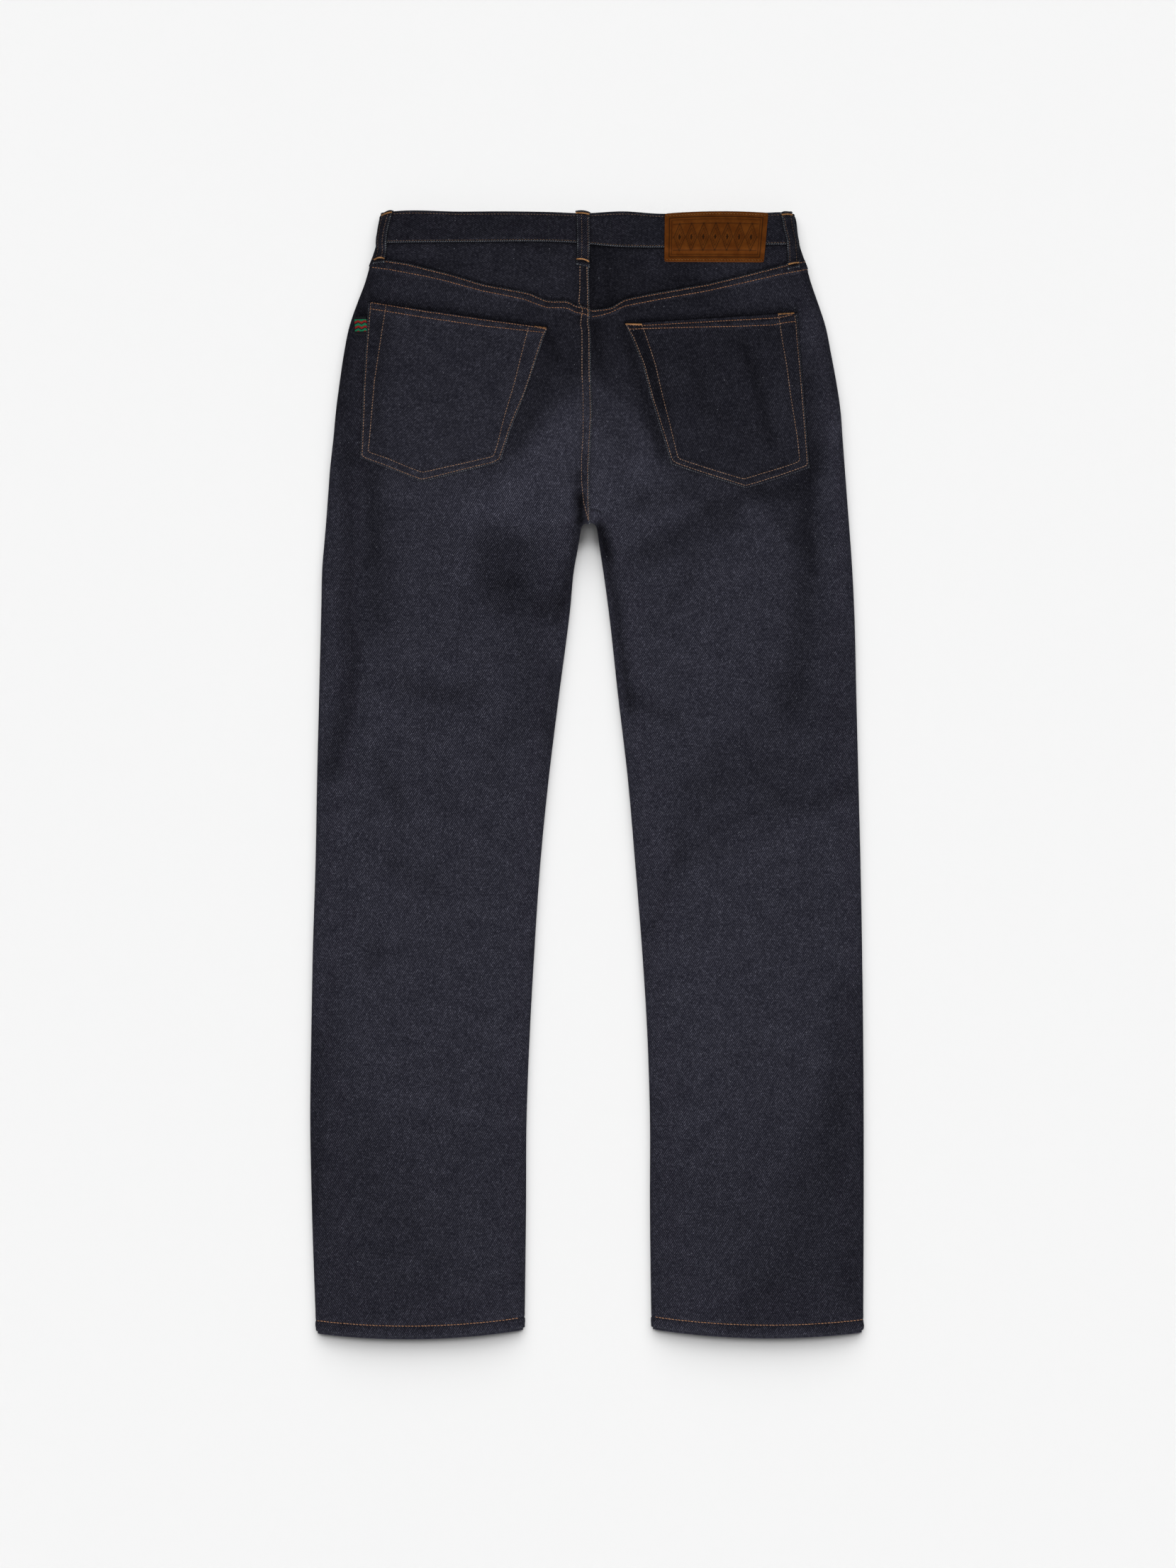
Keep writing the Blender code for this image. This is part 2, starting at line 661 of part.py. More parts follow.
def scoop_point(side, degrees):
    """A point on the edge of the hand pocket opening, from 0 at the side seam to 90 at the waistband."""
    turn = math.radians(degrees)
    x_side, y_side, _ = seat_row(side, SCOOP_ROW)[0]
    height = band_seam_line(x_side, True) - y_side
    x = x_side - side * (SEAM_GAP + SCOOP_WIDTH * math.sin(turn))
    return x, y_side + height * (1 - math.cos(turn))


SCOOP_DEGREES = (0, 18, 36, 54, 72, 90)


def front_panel(side, name):
    """The front of a leg, whose upper outer corner is cut away for the hand pocket."""
    rows = [front_leg_points(row) for row in leg_rows(side)]
    side_seam = [seat_row(side, k)[0] for k in range(1, SCOOP_ROW)]
    outer_line = [(x - side * SEAM_GAP, y) for x, y, _ in side_seam]
    outer_line += [scoop_point(side, a) for a in SCOOP_DEGREES]
    low, high = crotch_line(0, True), outer_line[-1][1]
    centre_low, centre_high = rows[-1][-1][1], band_seam_line(0.0, True)
    for x_outer, y_outer in outer_line:
        share = (y_outer - low) / (high - low)
        y_centre = mix(centre_low, centre_high, share)
        x_centre = centre_seam(y_centre) + side * SEAM_GAP / 2
        row = []
        for t in (0.0, *FRONT_SHARES, 1.0):
            x, y = mix(x_outer, x_centre, t), mix(y_outer, y_centre, t)
            waist = band_seam_line(x, True) - SEAM_GAP
            y = mix(y, waist, smooth_step((share - 0.8) / 0.2))
            row.append((x, y, floor_height(y)))
        rows.append(row)
    return add_cloth(name, rows, DENIM, facing=side)


def pocket_facing(side, name):
    """The denim behind the hand pocket opening, from the side seam to past the edge of the scoop."""
    low = scoop_point(side, 0)[1] - FACING_MARGIN
    rows = []
    for up in np.linspace(0, 1, 7):
        side_x = outer_edge[side](mix(low, BAND_SEAM_Y, up)) - side * (OUTSEAM_INSET - FACING_TUCK)
        reach = mix(FACING_MARGIN, SCOOP_WIDTH + FACING_MARGIN, math.sin(up * math.pi / 2))
        row = []
        for t in np.linspace(0, 1, 5):
            x = side_x - side * reach * t
            y = mix(low, band_seam_line(x, True) - SEAM_GAP, up)
            row.append((x, y, floor_height(y) + DENIM + SEAM_GAP))
        rows.append(row)
    return add_cloth(name, rows, DENIM, facing=-side, outward=True)


def clear_scene():
    for obj in list(bpy.data.objects):
        bpy.data.objects.remove(obj, do_unlink=True)


clear_scene()
jeans = bpy.data.collections.new("straight_leg_jeans")
bpy.context.scene.collection.children.link(jeans)

for leg, word in ((LEFT, "left"), (RIGHT, "right")):
    back_panel(leg, f"back_panel_{word}")
    yoke(leg, f"yoke_{word}")
    front_panel(leg, f"front_panel_{word}")
    pocket_facing(leg, f"pocket_facing_{word}")
    hem(leg, f"hem_{word}")
    back_pocket(leg, f"back_pocket_{word}")
    back_loop(f"loop_back_{word}", leg)
    front_loop(leg, f"loop_front_{word}")
back_loop("loop_back_centre")
waistband()
leather_patch()
side_tab()
waist_button()
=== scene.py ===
import math

import bpy
import numpy as np
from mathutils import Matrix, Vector
from mathutils.bvhtree import BVHTree


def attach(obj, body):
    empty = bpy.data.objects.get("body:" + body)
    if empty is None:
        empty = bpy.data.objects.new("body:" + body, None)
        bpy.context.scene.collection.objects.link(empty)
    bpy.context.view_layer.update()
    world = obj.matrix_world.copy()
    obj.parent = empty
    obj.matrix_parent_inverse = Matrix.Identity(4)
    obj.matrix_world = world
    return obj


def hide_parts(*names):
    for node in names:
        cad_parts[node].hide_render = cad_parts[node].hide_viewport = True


# Straight leg jeans, laid face down. Lengths are in millimetres until a mesh is made of them.
# Side -1 is the wearer's left and +1 the right. "Under" is the cloth that has turned below the outline.

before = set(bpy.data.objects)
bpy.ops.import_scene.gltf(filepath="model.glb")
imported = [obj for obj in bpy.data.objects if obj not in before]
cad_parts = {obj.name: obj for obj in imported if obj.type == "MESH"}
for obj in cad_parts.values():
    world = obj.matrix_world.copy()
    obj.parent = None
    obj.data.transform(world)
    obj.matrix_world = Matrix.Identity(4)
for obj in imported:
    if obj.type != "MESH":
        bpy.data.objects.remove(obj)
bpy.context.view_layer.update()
mm = 0.001
left, right = -1, 1
word = {left: "Left", right: "Right"}
pieces = {}
skins = {}  # the outer skin of each piece, for laying thread on
print("frame loaded")


# Curves and small maths

def curveThrough(xs, ys):
    xs, ys = np.array(xs, float), np.array(ys, float)
    slopes = np.gradient(ys, xs)

    def value(x):
        x = np.clip(x, xs[0], xs[-1])
        i = np.clip(np.searchsorted(xs, x) - 1, 0, len(xs) - 2)
        span = xs[i + 1] - xs[i]
        t = (x - xs[i]) / span
        ends = (1 + 2 * t) * (1 - t) ** 2 * ys[i] + t * t * (3 - 2 * t) * ys[i + 1]
        return ends + t * (1 - t) * span * ((1 - t) * slopes[i] - t * slopes[i + 1])

    return value


def straightThrough(points, axis=0):
    points = np.array(points, float)
    points = points[np.argsort(points[:, axis])]
    return lambda v: np.interp(v, points[:, axis], points[:, 1 - axis])


def smoothStep(t):
    t = np.clip(t, 0.0, 1.0)
    return t * t * (3 - 2 * t)


def mix(a, b, t):
    return a + (b - a) * t


def softNoise(x, y, size, seed):
    table = np.random.default_rng(seed).uniform(-1, 1, (97, 97))
    gx, gy = np.asarray(x) / size + 41.3, np.asarray(y) / size + 37.7
    ix, iy = np.floor(gx).astype(int), np.floor(gy).astype(int)
    fx, fy = smoothStep(gx - ix), smoothStep(gy - iy)
    a, b = table[ix % 97, iy % 97], table[(ix + 1) % 97, iy % 97]
    c, d = table[ix % 97, (iy + 1) % 97], table[(ix + 1) % 97, (iy + 1) % 97]
    return mix(mix(a, b, fx), mix(c, d, fx), fy)


def bell(distance, half):
    return np.exp(-(distance / half) ** 2)


def distanceTo(line, x, y):
    x, y = np.asarray(x, float), np.asarray(y, float)
    best = np.full(x.shape, 1e9)
    for (ax, ay), (bx, by) in zip(line[:-1], line[1:]):
        dx, dy = bx - ax, by - ay
        t = np.clip(((x - ax) * dx + (y - ay) * dy) / max(dx * dx + dy * dy, 1e-9), 0, 1)
        best = np.minimum(best, (x - ax - t * dx) ** 2 + (y - ay - t * dy) ** 2)
    return np.sqrt(best)


# The outline and the height of the cloth

outline = dict(
    y=(-540, -410, -329, -248, -167, -86, -5, 76, 157, 197, 232, 265, 292, 319, 346,
       373, 400, 427, 454, 467, 481, 494, 502, 514, 526, 535, 540),
    left=(-257.5, -262, -263.5, -262.5, -261, -258.5, -257, -255, -253, -252, -249, -246.5, -244.5, -241.5,
          -239, -235.5, -231.5, -226, -216.5, -211.5, -207.5, -202.6, -200.2, -198.6, -196.6, -194.4, -193.2),
    right=(263, 263.5, 263.5, 263, 262, 260.5, 258.5, 256.5, 254.5, 252.5, 250, 247.5, 245.5, 243.5, 241.5,
           237.5, 232.5, 227, 218, 213.5, 209.4, 204.4, 201.8, 199.6, 197.8, 195.6, 194.2),
    gapY=(-540, -410, -329, -248, -167, -86, -5, 76, 157, 197, 213, 232),
    gapLeft=(-59.5, -58, -57.5, -54.5, -50, -44.5, -36.5, -26.5, -16, -12, -9, -5.8),
    gapRight=(61.5, 60, 60, 57.5, 52.5, 46, 39, 29.5, 20.5, 15, 12.5, 9.8),
    crotchX=2.0, crotchY=239.6, crotchRadius=7.6,
    hemCorners={left: (-533.0, -529.5), right: (-532.0, -528.8)}, hemSag=7.0,
)
body = dict(
    ply=1.2, roll=6.0, crownReach=96.0, crownPower=4.0, outseamInset=10.0, inseamInset=12.0, strip=14.0,
    waistLift=3.5, liftFrom=425.0, liftTo=462.0, frontDrop=30.0,
    crestY=(-540, -400, -200, 0, 120, 190, 240, 290, 340, 385, 430, 470, 505, 540),
    crestZ=(19, 20, 20, 21, 22, 21, 21.5, 26, 30, 31, 28.5, 24.5, 22, 20),
    ripples=((60, 0.45), (27, 0.22), (13, 0.10)),  # size across, height
)
# middle, half length along, half width across, direction from +X, height
folds = (
    (-62, 232, 46, 15, 4, -3.2), (-112, 196, 42, 16, 74, -2.2), (78, 236, 62, 15, 33, -3.0),
    (-228, 118, 110, 13, 91, -1.8), (217, 262, 120, 13, 92, -2.2), (168, -22, 110, 42, 9, 3.0),
    (-125, 84, 62, 17, -17, -1.5), (44, 96, 34, 14, 118, -1.4), (18, 455, 40, 17, 95, -1.8),
)
creases = (
    (-96, 150, 60, 9, 22, 0.6), (-190, 40, 70, 12, 34, -0.6), (-90, -60, 80, 12, -20, 0.5),
    (-200, -180, 60, 13, 28, 0.5), (-130, -330, 90, 14, -12, -0.6), (90, 120, 70, 10, -30, 0.6),
    (220, -80, 60, 10, 70, -0.6), (110, -160, 90, 14, 14, 0.6), (200, -270, 70, 12, -26, -0.6),
    (110, -400, 80, 13, 20, 0.6), (-60, 430, 34, 8, 30, 0.5),
)
# run of each crease, half its width, height
drapes = (
    (((-3.5, 264), (-3, 251), (1, 241)), 4, -2.2), (((37, 428), (48, 385), (61, 345), (75, 300)), 6, -1.3),
    (((216, 300), (214, 230), (216, 180)), 6, -1.3), (((-228, 200), (-224, 110), (-232, 40)), 9, -1.0),
    (((250, -12), (215, -24), (175, -20), (120, -42), (90, -70)), 10, -1.5), (((8, 432), (12, 395)), 6, -1.2),
    (((150, 412), (162, 375), (172, 325)), 6, -0.9), (((-38, 425), (-30, 398)), 5, -1.1),
    (((20, 492), (22, 452)), 6, -0.9), (((-95, 262), (-50, 297), (-5, 350), (35, 315), (62, 282)), 16, 1.2),
)

sideEdge = {side: curveThrough(outline["y"], outline[word[side].lower()]) for side in word}
gapEdge = {side: curveThrough(outline["gapY"], outline["gap" + word[side]]) for side in word}
centreLine = curveThrough((239, 262, 300, 440, 500, 540), (2.0, -1.2, -2.0, -1.8, -3.2, -3.4))
bandLow = curveThrough((-205, -120, -5, 22, 69, 125, 205), (505.4, 506.2, 505, 502.3, 501.0, 503.0, 504.0))
bandTop = curveThrough((-200, -183, -120, -80, -36, -3, 35, 68, 120, 172, 186, 200),
                       (533.8, 535.8, 535.4, 535.6, 535, 533.8, 535.6, 533.4, 535.4, 534.4, 534.8, 532.6))
crest = curveThrough(body["crestY"], body["crestZ"])
atSide = dict(yokeFold=487.0, bandLow=504.0, bandTop=533.0)  # heights where these lines reach the outline


def archPoint(side, degrees):
    turn = math.radians(degrees)
    into = np.array([side * math.cos(turn), math.sin(turn)])
    middle = np.array([outline["crotchX"] + side * 0.15, outline["crotchY"] - outline["crotchRadius"]])
    return middle + outline["crotchRadius"] * into, into


def gapOutline():
    heights = np.arange(-540, outline["crotchY"] - outline["crotchRadius"], 12.0)
    line = {side: [(float(gapEdge[side](y)), y) for y in heights] for side in word}
    arch = {side: [tuple(archPoint(side, a)[0]) for a in range(0, 91, 15)] for side in word}
    return np.array(line[left] + arch[left] + arch[right][::-1] + line[right][::-1])


gapLine = gapOutline()


def floorHeight(y):
    return body["waistLift"] * smoothStep((y - body["liftFrom"]) / (body["liftTo"] - body["liftFrom"]))


def rounding(distance):
    t = np.clip(distance / body["crownReach"], 0.0, 1.0)
    return np.sqrt(1 - (1 - t) ** body["crownPower"])


def foldHeights(x, y, table):
    total = np.zeros(np.shape(x))
    for fx, fy, along, across, degrees, height in table:
        turn = math.radians(degrees)
        dx, dy = x - fx, y - fy
        a = (dx * math.cos(turn) + dy * math.sin(turn)) / along
        b = (dy * math.cos(turn) - dx * math.sin(turn)) / across
        total += height * np.exp(-a * a - b * b)
    return total


def topHeight(x, y, fromOuter=None, fromGap=None):
    x, y = np.asarray(x, float), np.asarray(y, float)
    isLeft = x < centreLine(np.maximum(y, outline["crotchY"]))
    if fromOuter is None:
        fromOuter = np.where(isLeft, x - sideEdge[left](y), sideEdge[right](y) - x)
    if fromGap is None:
        fromGap = distanceTo(gapLine, x, y)
    base = floorHeight(y) + body["roll"]
    shape = crest(y) - base + foldHeights(x, y, folds) + foldHeights(x, y, creases)
    for run, half, height in drapes:
        shape = shape + height * bell(distanceTo(run, x, y), half)
    for k, (size, height) in enumerate(body["ripples"]):
        shape = shape + height * softNoise(x, y, size, 40 + k)
    return base + shape * rounding(fromOuter) * rounding(fromGap)


def underHeight(y, inset):
    turned = 1 - np.minimum(np.asarray(inset, float) / body["roll"], 1.0)
    return floorHeight(y) + body["roll"] * (1 - np.sqrt(1 - turned * turned))


def frontDrop(x, y):
    half = np.where(np.asarray(x) < 0, -sideEdge[left](y), sideEdge[right](y))
    return body["frontDrop"] * np.maximum(1 - (x / half) ** 2, 0.0)


def hemLine(side, share, under):
    outer, inner = outline["hemCorners"][side]
    sag = 0.0 if under else np.maximum(outline["hemSag"] * 4 * share * (1 - share), 0.0)
    return mix(outer, inner, np.clip(share, 0, 1)) - sag


# The rows of thread at the seams

yokeUpper = [
    (-215, 492.6), (-190.4, 487.6), (-172.3, 485.0), (-153.9, 480.3), (-131.0, 474.7), (-100.0, 465.1),
    (-59.4, 457.5), (-54.0, 456.3), (-49.3, 454.0), (-43.9, 451.6), (-38.8, 449.6), (-32.4, 449.0),
    (-20.2, 449.3), (-16.2, 447.9), (-10.8, 444.6), (-5.4, 443.9), (-1.4, 443.1), (4.7, 440.4), (13.5, 441.1),
    (23.9, 442.8), (35.9, 450.6), (58.7, 455.2), (80.7, 459.1), (115.2, 465.1), (149.9, 473.5),
    (187.4, 483.2), (210.6, 488.4),
]
yokeLower = [
    (-215, 483.6), (-206.8, 482.8), (-189.6, 480.6), (-153.9, 473.9), (-134.5, 469.5), (-100.0, 460.0),
    (-72.9, 454.7), (-59.4, 451.8), (-49.3, 447.9), (-43.2, 445.6), (-37.8, 444.0), (-21.6, 443.9),
    (-16.9, 442.6), (-10.8, 439.5), (-5.4, 438.5), (-1.4, 437.7), (4.1, 435.0), (12.2, 436.4), (20.5, 438.5),
    (35.9, 445.4), (58.7, 449.9), (80.7, 454.0), (115.2, 460.0), (149.6, 467.8), (183.6, 475.6),
    (208.1, 480.3),
]
seatLeftRow = [
    (-6.6, 477.9), (-6.75, 460.4), (-7.8, 448.2), (-5.7, 445.4), (-4.4, 443.3), (-4.4, 439.7), (-5.2, 435.6),
    (-6.2, 427.3), (-4.7, 422.0), (-4.7, 379.4), (-3.6, 359.1), (-3.6, 324.0), (-5.1, 301.1), (-5.1, 278.1),
    (-3.0, 257.9), (1.0, 243.0),
]
seatRightRow = [
    (0.0, 477.9), (0.5, 460.4), (0.5, 448.0), (1.0, 443.5), (1.0, 437.0), (0.3, 429.3), (1.8, 422.0),
    (2.0, 379.4), (2.8, 359.1), (3.3, 341.6), (2.0, 318.6), (0.5, 289.6), (0.7, 266.0), (1.2, 248.4),
    (1.4, 240.3),
]
seam = dict(
    yokeFold=1.5, seatFold=1.75, rise=1.45, shoulder=2.4, foldRadius=0.85, dent=0.34, dentWidth=0.75,
    seatStart=236,
)

upperRowY, lowerRowY = straightThrough(yokeUpper), straightThrough(yokeLower)
leftRowX, rightRowX = straightThrough(seatLeftRow, 1), straightThrough(seatRightRow, 1)


def seatFoldX(y):
    return rightRowX(y) + seam["seatFold"]


def yokeFoldY(x):
    return upperRowY(x) + seam["yokeFold"]


def dentAt(distance):
    return seam["dent"] * bell(distance, seam["dentWidth"])


def roundedEdge(distance, radius):
    inside = np.clip(radius - distance, 0, radius)
    return radius - np.sqrt(np.maximum(radius ** 2 - inside ** 2, 0))


def pucker(along, distance, reach, height, seed):
    wave = softNoise(along, distance * 0.35, 5.2, seed)
    wave = wave + 0.6 * softNoise(along, distance * 0.2, 11.0, seed + 1)
    return height * wave * np.exp(-np.abs(distance) / reach) * smoothStep(np.abs(distance) / 1.2)


# Meshes: rows of points become a sheet, and a sheet becomes a closed shell with two skins

def sheetFrom(rows, flip=False, closed=False):
    counts = [len(r) for r in rows]
    starts = np.concatenate([[0], np.cumsum(counts)])
    quads = []
    for i in range(len(rows) - 1):
        n = counts[i + 1] if closed else counts[i + 1] - 1
        j = np.arange(n)
        k = (j + 1) % counts[i + 1]
        quads.append(np.stack([starts[i] + j, starts[i] + k, starts[i + 1] + k, starts[i + 1] + j], 1))
    quads = np.concatenate(quads)
    return np.concatenate([np.asarray(r, float) for r in rows]), quads[:, ::-1] if flip else quads


def vertexNormals(verts, quads):
    a, b, c, d = (verts[quads[:, k]] for k in range(4))
    face = np.cross(c - a, d - b)
    total = np.zeros_like(verts)
    for k in range(4):
        np.add.at(total, quads[:, k], face)
    return total / np.maximum(np.linalg.norm(total, axis=1, keepdims=True), 1e-12)


def rimOf(quads):
    edges = np.concatenate([quads[:, [k, (k + 1) % 4]] for k in range(4)])
    size = int(quads.max()) + 1
    code, back = edges[:, 0] * size + edges[:, 1], edges[:, 1] * size + edges[:, 0]
    return edges[~np.isin(code, back)]


def shell(verts, quads, low, high):
    normals = vertexNormals(verts, quads)
    n = len(verts)
    high, low = np.broadcast_to(high, n)[:, None], np.broadcast_to(low, n)[:, None]
    points = np.concatenate([verts + normals * high, verts + normals * low])
    rim = rimOf(quads)
    side = np.stack([rim[:, 1], rim[:, 0], rim[:, 0] + n, rim[:, 1] + n], 1)
    return points, np.concatenate([quads, quads[:, ::-1] + n, side])


def makePiece(name, verts, quads, material, marks=None):
    mesh = bpy.data.meshes.new(name)
    mesh.from_pydata((verts * mm).tolist(), [], quads.tolist())
    for key, values in (marks or {}).items():
        values = np.asarray(values, np.float32)
        kind = "FLOAT_VECTOR" if values.ndim == 2 else "FLOAT"
        mark = mesh.attributes.new(key, kind, "POINT")
        mark.data.foreach_set("vector" if kind == "FLOAT_VECTOR" else "value", values.ravel())
    mesh.polygons.foreach_set("use_smooth", np.ones(len(quads), bool))
    mesh.update()
    mesh.materials.append(material)
    obj = bpy.data.objects.new(name, mesh)
    bpy.context.scene.collection.objects.link(obj)
    pieces[name] = obj
    return obj


def clothPiece(name, rows, low, high, material, cloth, edge, paintedShading, flip=False, closed=False, show=True):
    verts, quads = sheetFrom(rows, flip, closed)
    points, faces = shell(verts, quads, low, high)
    points[:, 2] = np.maximum(points[:, 2], 0.0)
    edge = np.zeros((len(verts), 3)) if edge is None else edge
    # The shading mark is painted light and shade, a multiplier on the cloth's colour
    paintedShading = np.tile(np.broadcast_to(paintedShading, len(verts)), 2)
    marks = dict(cloth=np.tile(cloth, (2, 1)), fold=np.concatenate([edge, edge * (1, 1, 0)]), paintedShading=paintedShading)
    if show:
        skins[name] = (points[:len(verts)], quads)
    return makePiece(name, points, faces, material, marks)


def alongRow(points):
    steps = np.linalg.norm(np.diff(points, axis=0), axis=1)
    return np.concatenate([[0], np.cumsum(steps)])


# Materials: small helpers, then groups that several materials share

def addNode(tree, kind, inputs=None, **settings):
    node = tree.nodes.new("ShaderNode" + kind)
    for key, value in settings.items():
        setattr(node, key, value)
    for key, value in (inputs or {}).items():
        if isinstance(value, bpy.types.NodeSocket):
            tree.links.new(value, node.inputs[key])
        else:
            node.inputs[key].default_value = value
    return node


def maths(tree, operation, a, b=0.0, c=0.0, clamp=False):
    return addNode(tree, "Math", {0: a, 1: b, 2: c}, operation=operation, use_clamp=clamp).outputs[0]


def times(tree, a, b, clamp=False):
    return maths(tree, "MULTIPLY", a, b, clamp=clamp)


def scaled(tree, a, factor, offset):
    return maths(tree, "MULTIPLY_ADD", a, factor, offset)


def over(tree, a, b):
    return maths(tree, "DIVIDE", a, b)


def minus(tree, a, b, clamp=False):
    return maths(tree, "SUBTRACT", a, b, clamp=clamp)


def split(tree, vector):
    return addNode(tree, "SeparateXYZ", {0: vector}).outputs


def join(tree, *parts):
    return addNode(tree, "CombineXYZ", dict(enumerate(parts))).outputs[0]


def marked(tree, mark, socket="Vector"):
    return addNode(tree, "Attribute", attribute_name=mark).outputs[socket]


def noiseOn(tree, vector, scale, detail, **more):
    return addNode(tree, "TexNoise", dict(Vector=vector, Scale=scale, Detail=detail, **more)).outputs[0]


def cellsOn(tree, vector, scale):
    return addNode(tree, "TexVoronoi", dict(Vector=vector, Scale=scale), voronoi_dimensions="2D").outputs


def chanceOn(tree, vector):
    return addNode(tree, "TexWhiteNoise", dict(Vector=vector), noise_dimensions="2D").outputs[0]


def ramp(tree, value, low, high, toLow=0.0, toHigh=1.0):
    sockets = {"Value": value, "From Min": low, "From Max": high, "To Min": toLow, "To Max": toHigh}
    return addNode(tree, "MapRange", sockets, interpolation_type="SMOOTHSTEP").outputs[0]


def mixColour(tree, share, a, b, blend="MIX"):
    colours = {k: v if isinstance(v, bpy.types.NodeSocket) else (*v, 1.0) for k, v in ((6, a), (7, b))}
    return addNode(tree, "Mix", {0: share, **colours}, data_type="RGBA", blend_type=blend).outputs[2]


def newGroup(name, inputs, outputs):
    group = bpy.data.node_groups.new(name, "ShaderNodeTree")
    for label, kind, value in inputs:
        socket = group.interface.new_socket(label, in_out="INPUT", socket_type=f"NodeSocket{kind}")
        if kind == "Float":
            socket.default_value = value
    for label in outputs:
        group.interface.new_socket(label, in_out="OUTPUT", socket_type="NodeSocketFloat")
    return group, group.nodes.new("NodeGroupInput").outputs, group.nodes.new("NodeGroupOutput").inputs


def newMaterial(name, roughness, specular=0.5, metallic=0.0):
    material = bpy.data.materials.new(name)
    material.use_nodes = True
    shader = material.node_tree.nodes["Principled BSDF"]
    for key, value in (("Roughness", roughness), ("Metallic", metallic), ("Specular IOR Level", specular)):
        shader.inputs[key].default_value = value
    return material, material.node_tree, shader


def coat(tree, shader, colour, height, strength, depth):
    tree.links.new(colour, shader.inputs["Base Color"])
    bump = addNode(tree, "Bump", dict(Height=height, Strength=strength, Distance=depth * mm))
    tree.links.new(bump.outputs[0], shader.inputs["Normal"])


# Right hand twill: warp yarn 0.36 mm, weft pick 0.56 mm, each weft float showing at every fourth warp.
# Streak, grain and cloud: scale, detail, amount
twill = dict(
    warp=0.3625, pick=0.56, repeat=5.3, depth=1.1, share=0.168, drift=0.15,
    fleck=(3.0, 2.0), fleckLight=(1.1, 0.72), least=0.15,
    slub=(0.35, 0.03), streak=(1.0, 3.0, 0.5), grain=(0.36, 1.5, 2.0), cloud=(0.05, 2.0, 1.0),
)


def buildTwill():
    look = twill
    tree, inputs, outputs = newGroup(
        "twillWeave", [("Cloth", "Vector", None), ("Contrast", "Float", 1.0)], ["Weft", "Height"])
    parts = split(tree, inputs["Cloth"])
    warp, pick = over(tree, parts[0], look["warp"]), over(tree, parts[1], look["pick"])
    flat = join(tree, parts[0], parts[1])
    lines = over(tree, minus(tree, warp, pick), look["repeat"])
    drifted = maths(tree, "ADD", lines, noiseOn(tree, flat, look["drift"], 2.0))
    line = ramp(tree, maths(tree, "PINGPONG", drifted, 0.5), 0.0, 0.5, -1.0, 1.0)
    lit = scaled(tree, line, times(tree, inputs["Contrast"], look["depth"]), 1.0)
    cell = join(tree, *(maths(tree, "FLOOR", over(tree, v, n)) for v, n in zip((warp, pick), look["fleck"])))
    lit = times(tree, lit, scaled(tree, maths(tree, "POWER", chanceOn(tree, cell), 3.0), *look["fleckLight"]))
    long = join(tree, *(times(tree, parts[k], look["slub"][k]) for k in (0, 1)))
    grain = 1.0
    for vector, kind in ((long, "streak"), (flat, "grain"), (flat, "cloud")):
        scale, detail, amount = look[kind]
        noise = noiseOn(tree, vector, scale, detail, Roughness=0.85)
        grain = scaled(tree, minus(tree, noise, 0.5), amount, grain)
    grain = maths(tree, "MAXIMUM", grain, look["least"])
    tree.links.new(times(tree, lit, times(tree, grain, look["share"]), clamp=True), outputs["Weft"])
    tree.links.new(scaled(tree, line, -0.5, grain), outputs["Height"])
    return tree


# Pale neps: short tufts of undyed fibre, thinly scattered
nepLook = dict(scale=0.11, size=0.45, spread=(0.8, 0.5), rare=0.92)


def buildNeps():
    look = nepLook
    tree, inputs, outputs = newGroup(
        "neps", [("Cloth", "Vector", None), ("Size", "Float", look["size"])], ["Mask"])
    parts = split(tree, inputs["Cloth"])
    cells = cellsOn(tree, join(tree, parts[0], parts[1]), look["scale"])
    chosen = addNode(tree, "SeparateColor", {0: cells["Color"]}).outputs
    size = times(tree, inputs["Size"], scaled(tree, chosen[1], *look["spread"]))
    reach = over(tree, cells["Distance"], look["scale"])
    spot = minus(tree, 1.0, over(tree, reach, size), clamp=True)
    tree.links.new(times(tree, spot, maths(tree, "GREATER_THAN", chosen[0], look["rare"])), outputs["Mask"])
    return tree


# Pale dashes where the weft shows along a folded edge, and painted shade that darkens the edge towards the
# bare warp between and beside them. "Fold" holds the run, the distance in and the strength
foldLook = dict(
    spacing=2.1, slant=0.8, uneven=0.7, dash=(0.16, 0.36), patches=0.06, worn=(0.35, 0.62, 0.7, 0.0),
)


def buildFoldDashes():
    look = foldLook
    tree, inputs, outputs = newGroup(
        "foldDashes", [("Fold", "Vector", None), ("Spacing", "Float", look["spacing"]),
                       ("Slant", "Float", look["slant"]), ("Uneven", "Float", look["uneven"])],
        ["Mask", "HollowShade"])
    parts = split(tree, inputs["Fold"])
    place = over(tree, scaled(tree, parts[1], inputs["Slant"], parts[0]), inputs["Spacing"])
    luck = chanceOn(tree, join(tree, maths(tree, "FLOOR", place)))
    dash = ramp(tree, maths(tree, "PINGPONG", place, 0.5), *look["dash"])
    worn = ramp(tree, noiseOn(tree, inputs["Fold"], look["patches"], 1.0), *look["worn"])
    strength = times(tree, parts[2], minus(tree, 1.0, times(tree, inputs["Uneven"], worn)))
    lost = times(tree, inputs["Uneven"], minus(tree, 1.0, maths(tree, "POWER", luck, 2.0)))
    dash = times(tree, dash, minus(tree, 1.0, lost))
    tree.links.new(times(tree, dash, strength, clamp=True), outputs["Mask"])
    tree.links.new(times(tree, parts[2], 1.1, clamp=True), outputs["HollowShade"])
    return tree


twillGroup, nepGroup, dashGroup = buildTwill(), buildNeps(), buildFoldDashes()
denimLook = dict(
    warp=(0.0048, 0.0048, 0.0090), weft=(0.139, 0.138, 0.180), dash=(0.21, 0.225, 0.24),
    nep=(0.24, 0.25, 0.28), nepShare=0.8, roughness=0.9, specular=0.015, bump=0.55, weave=0.10, dashRise=1.5,
)


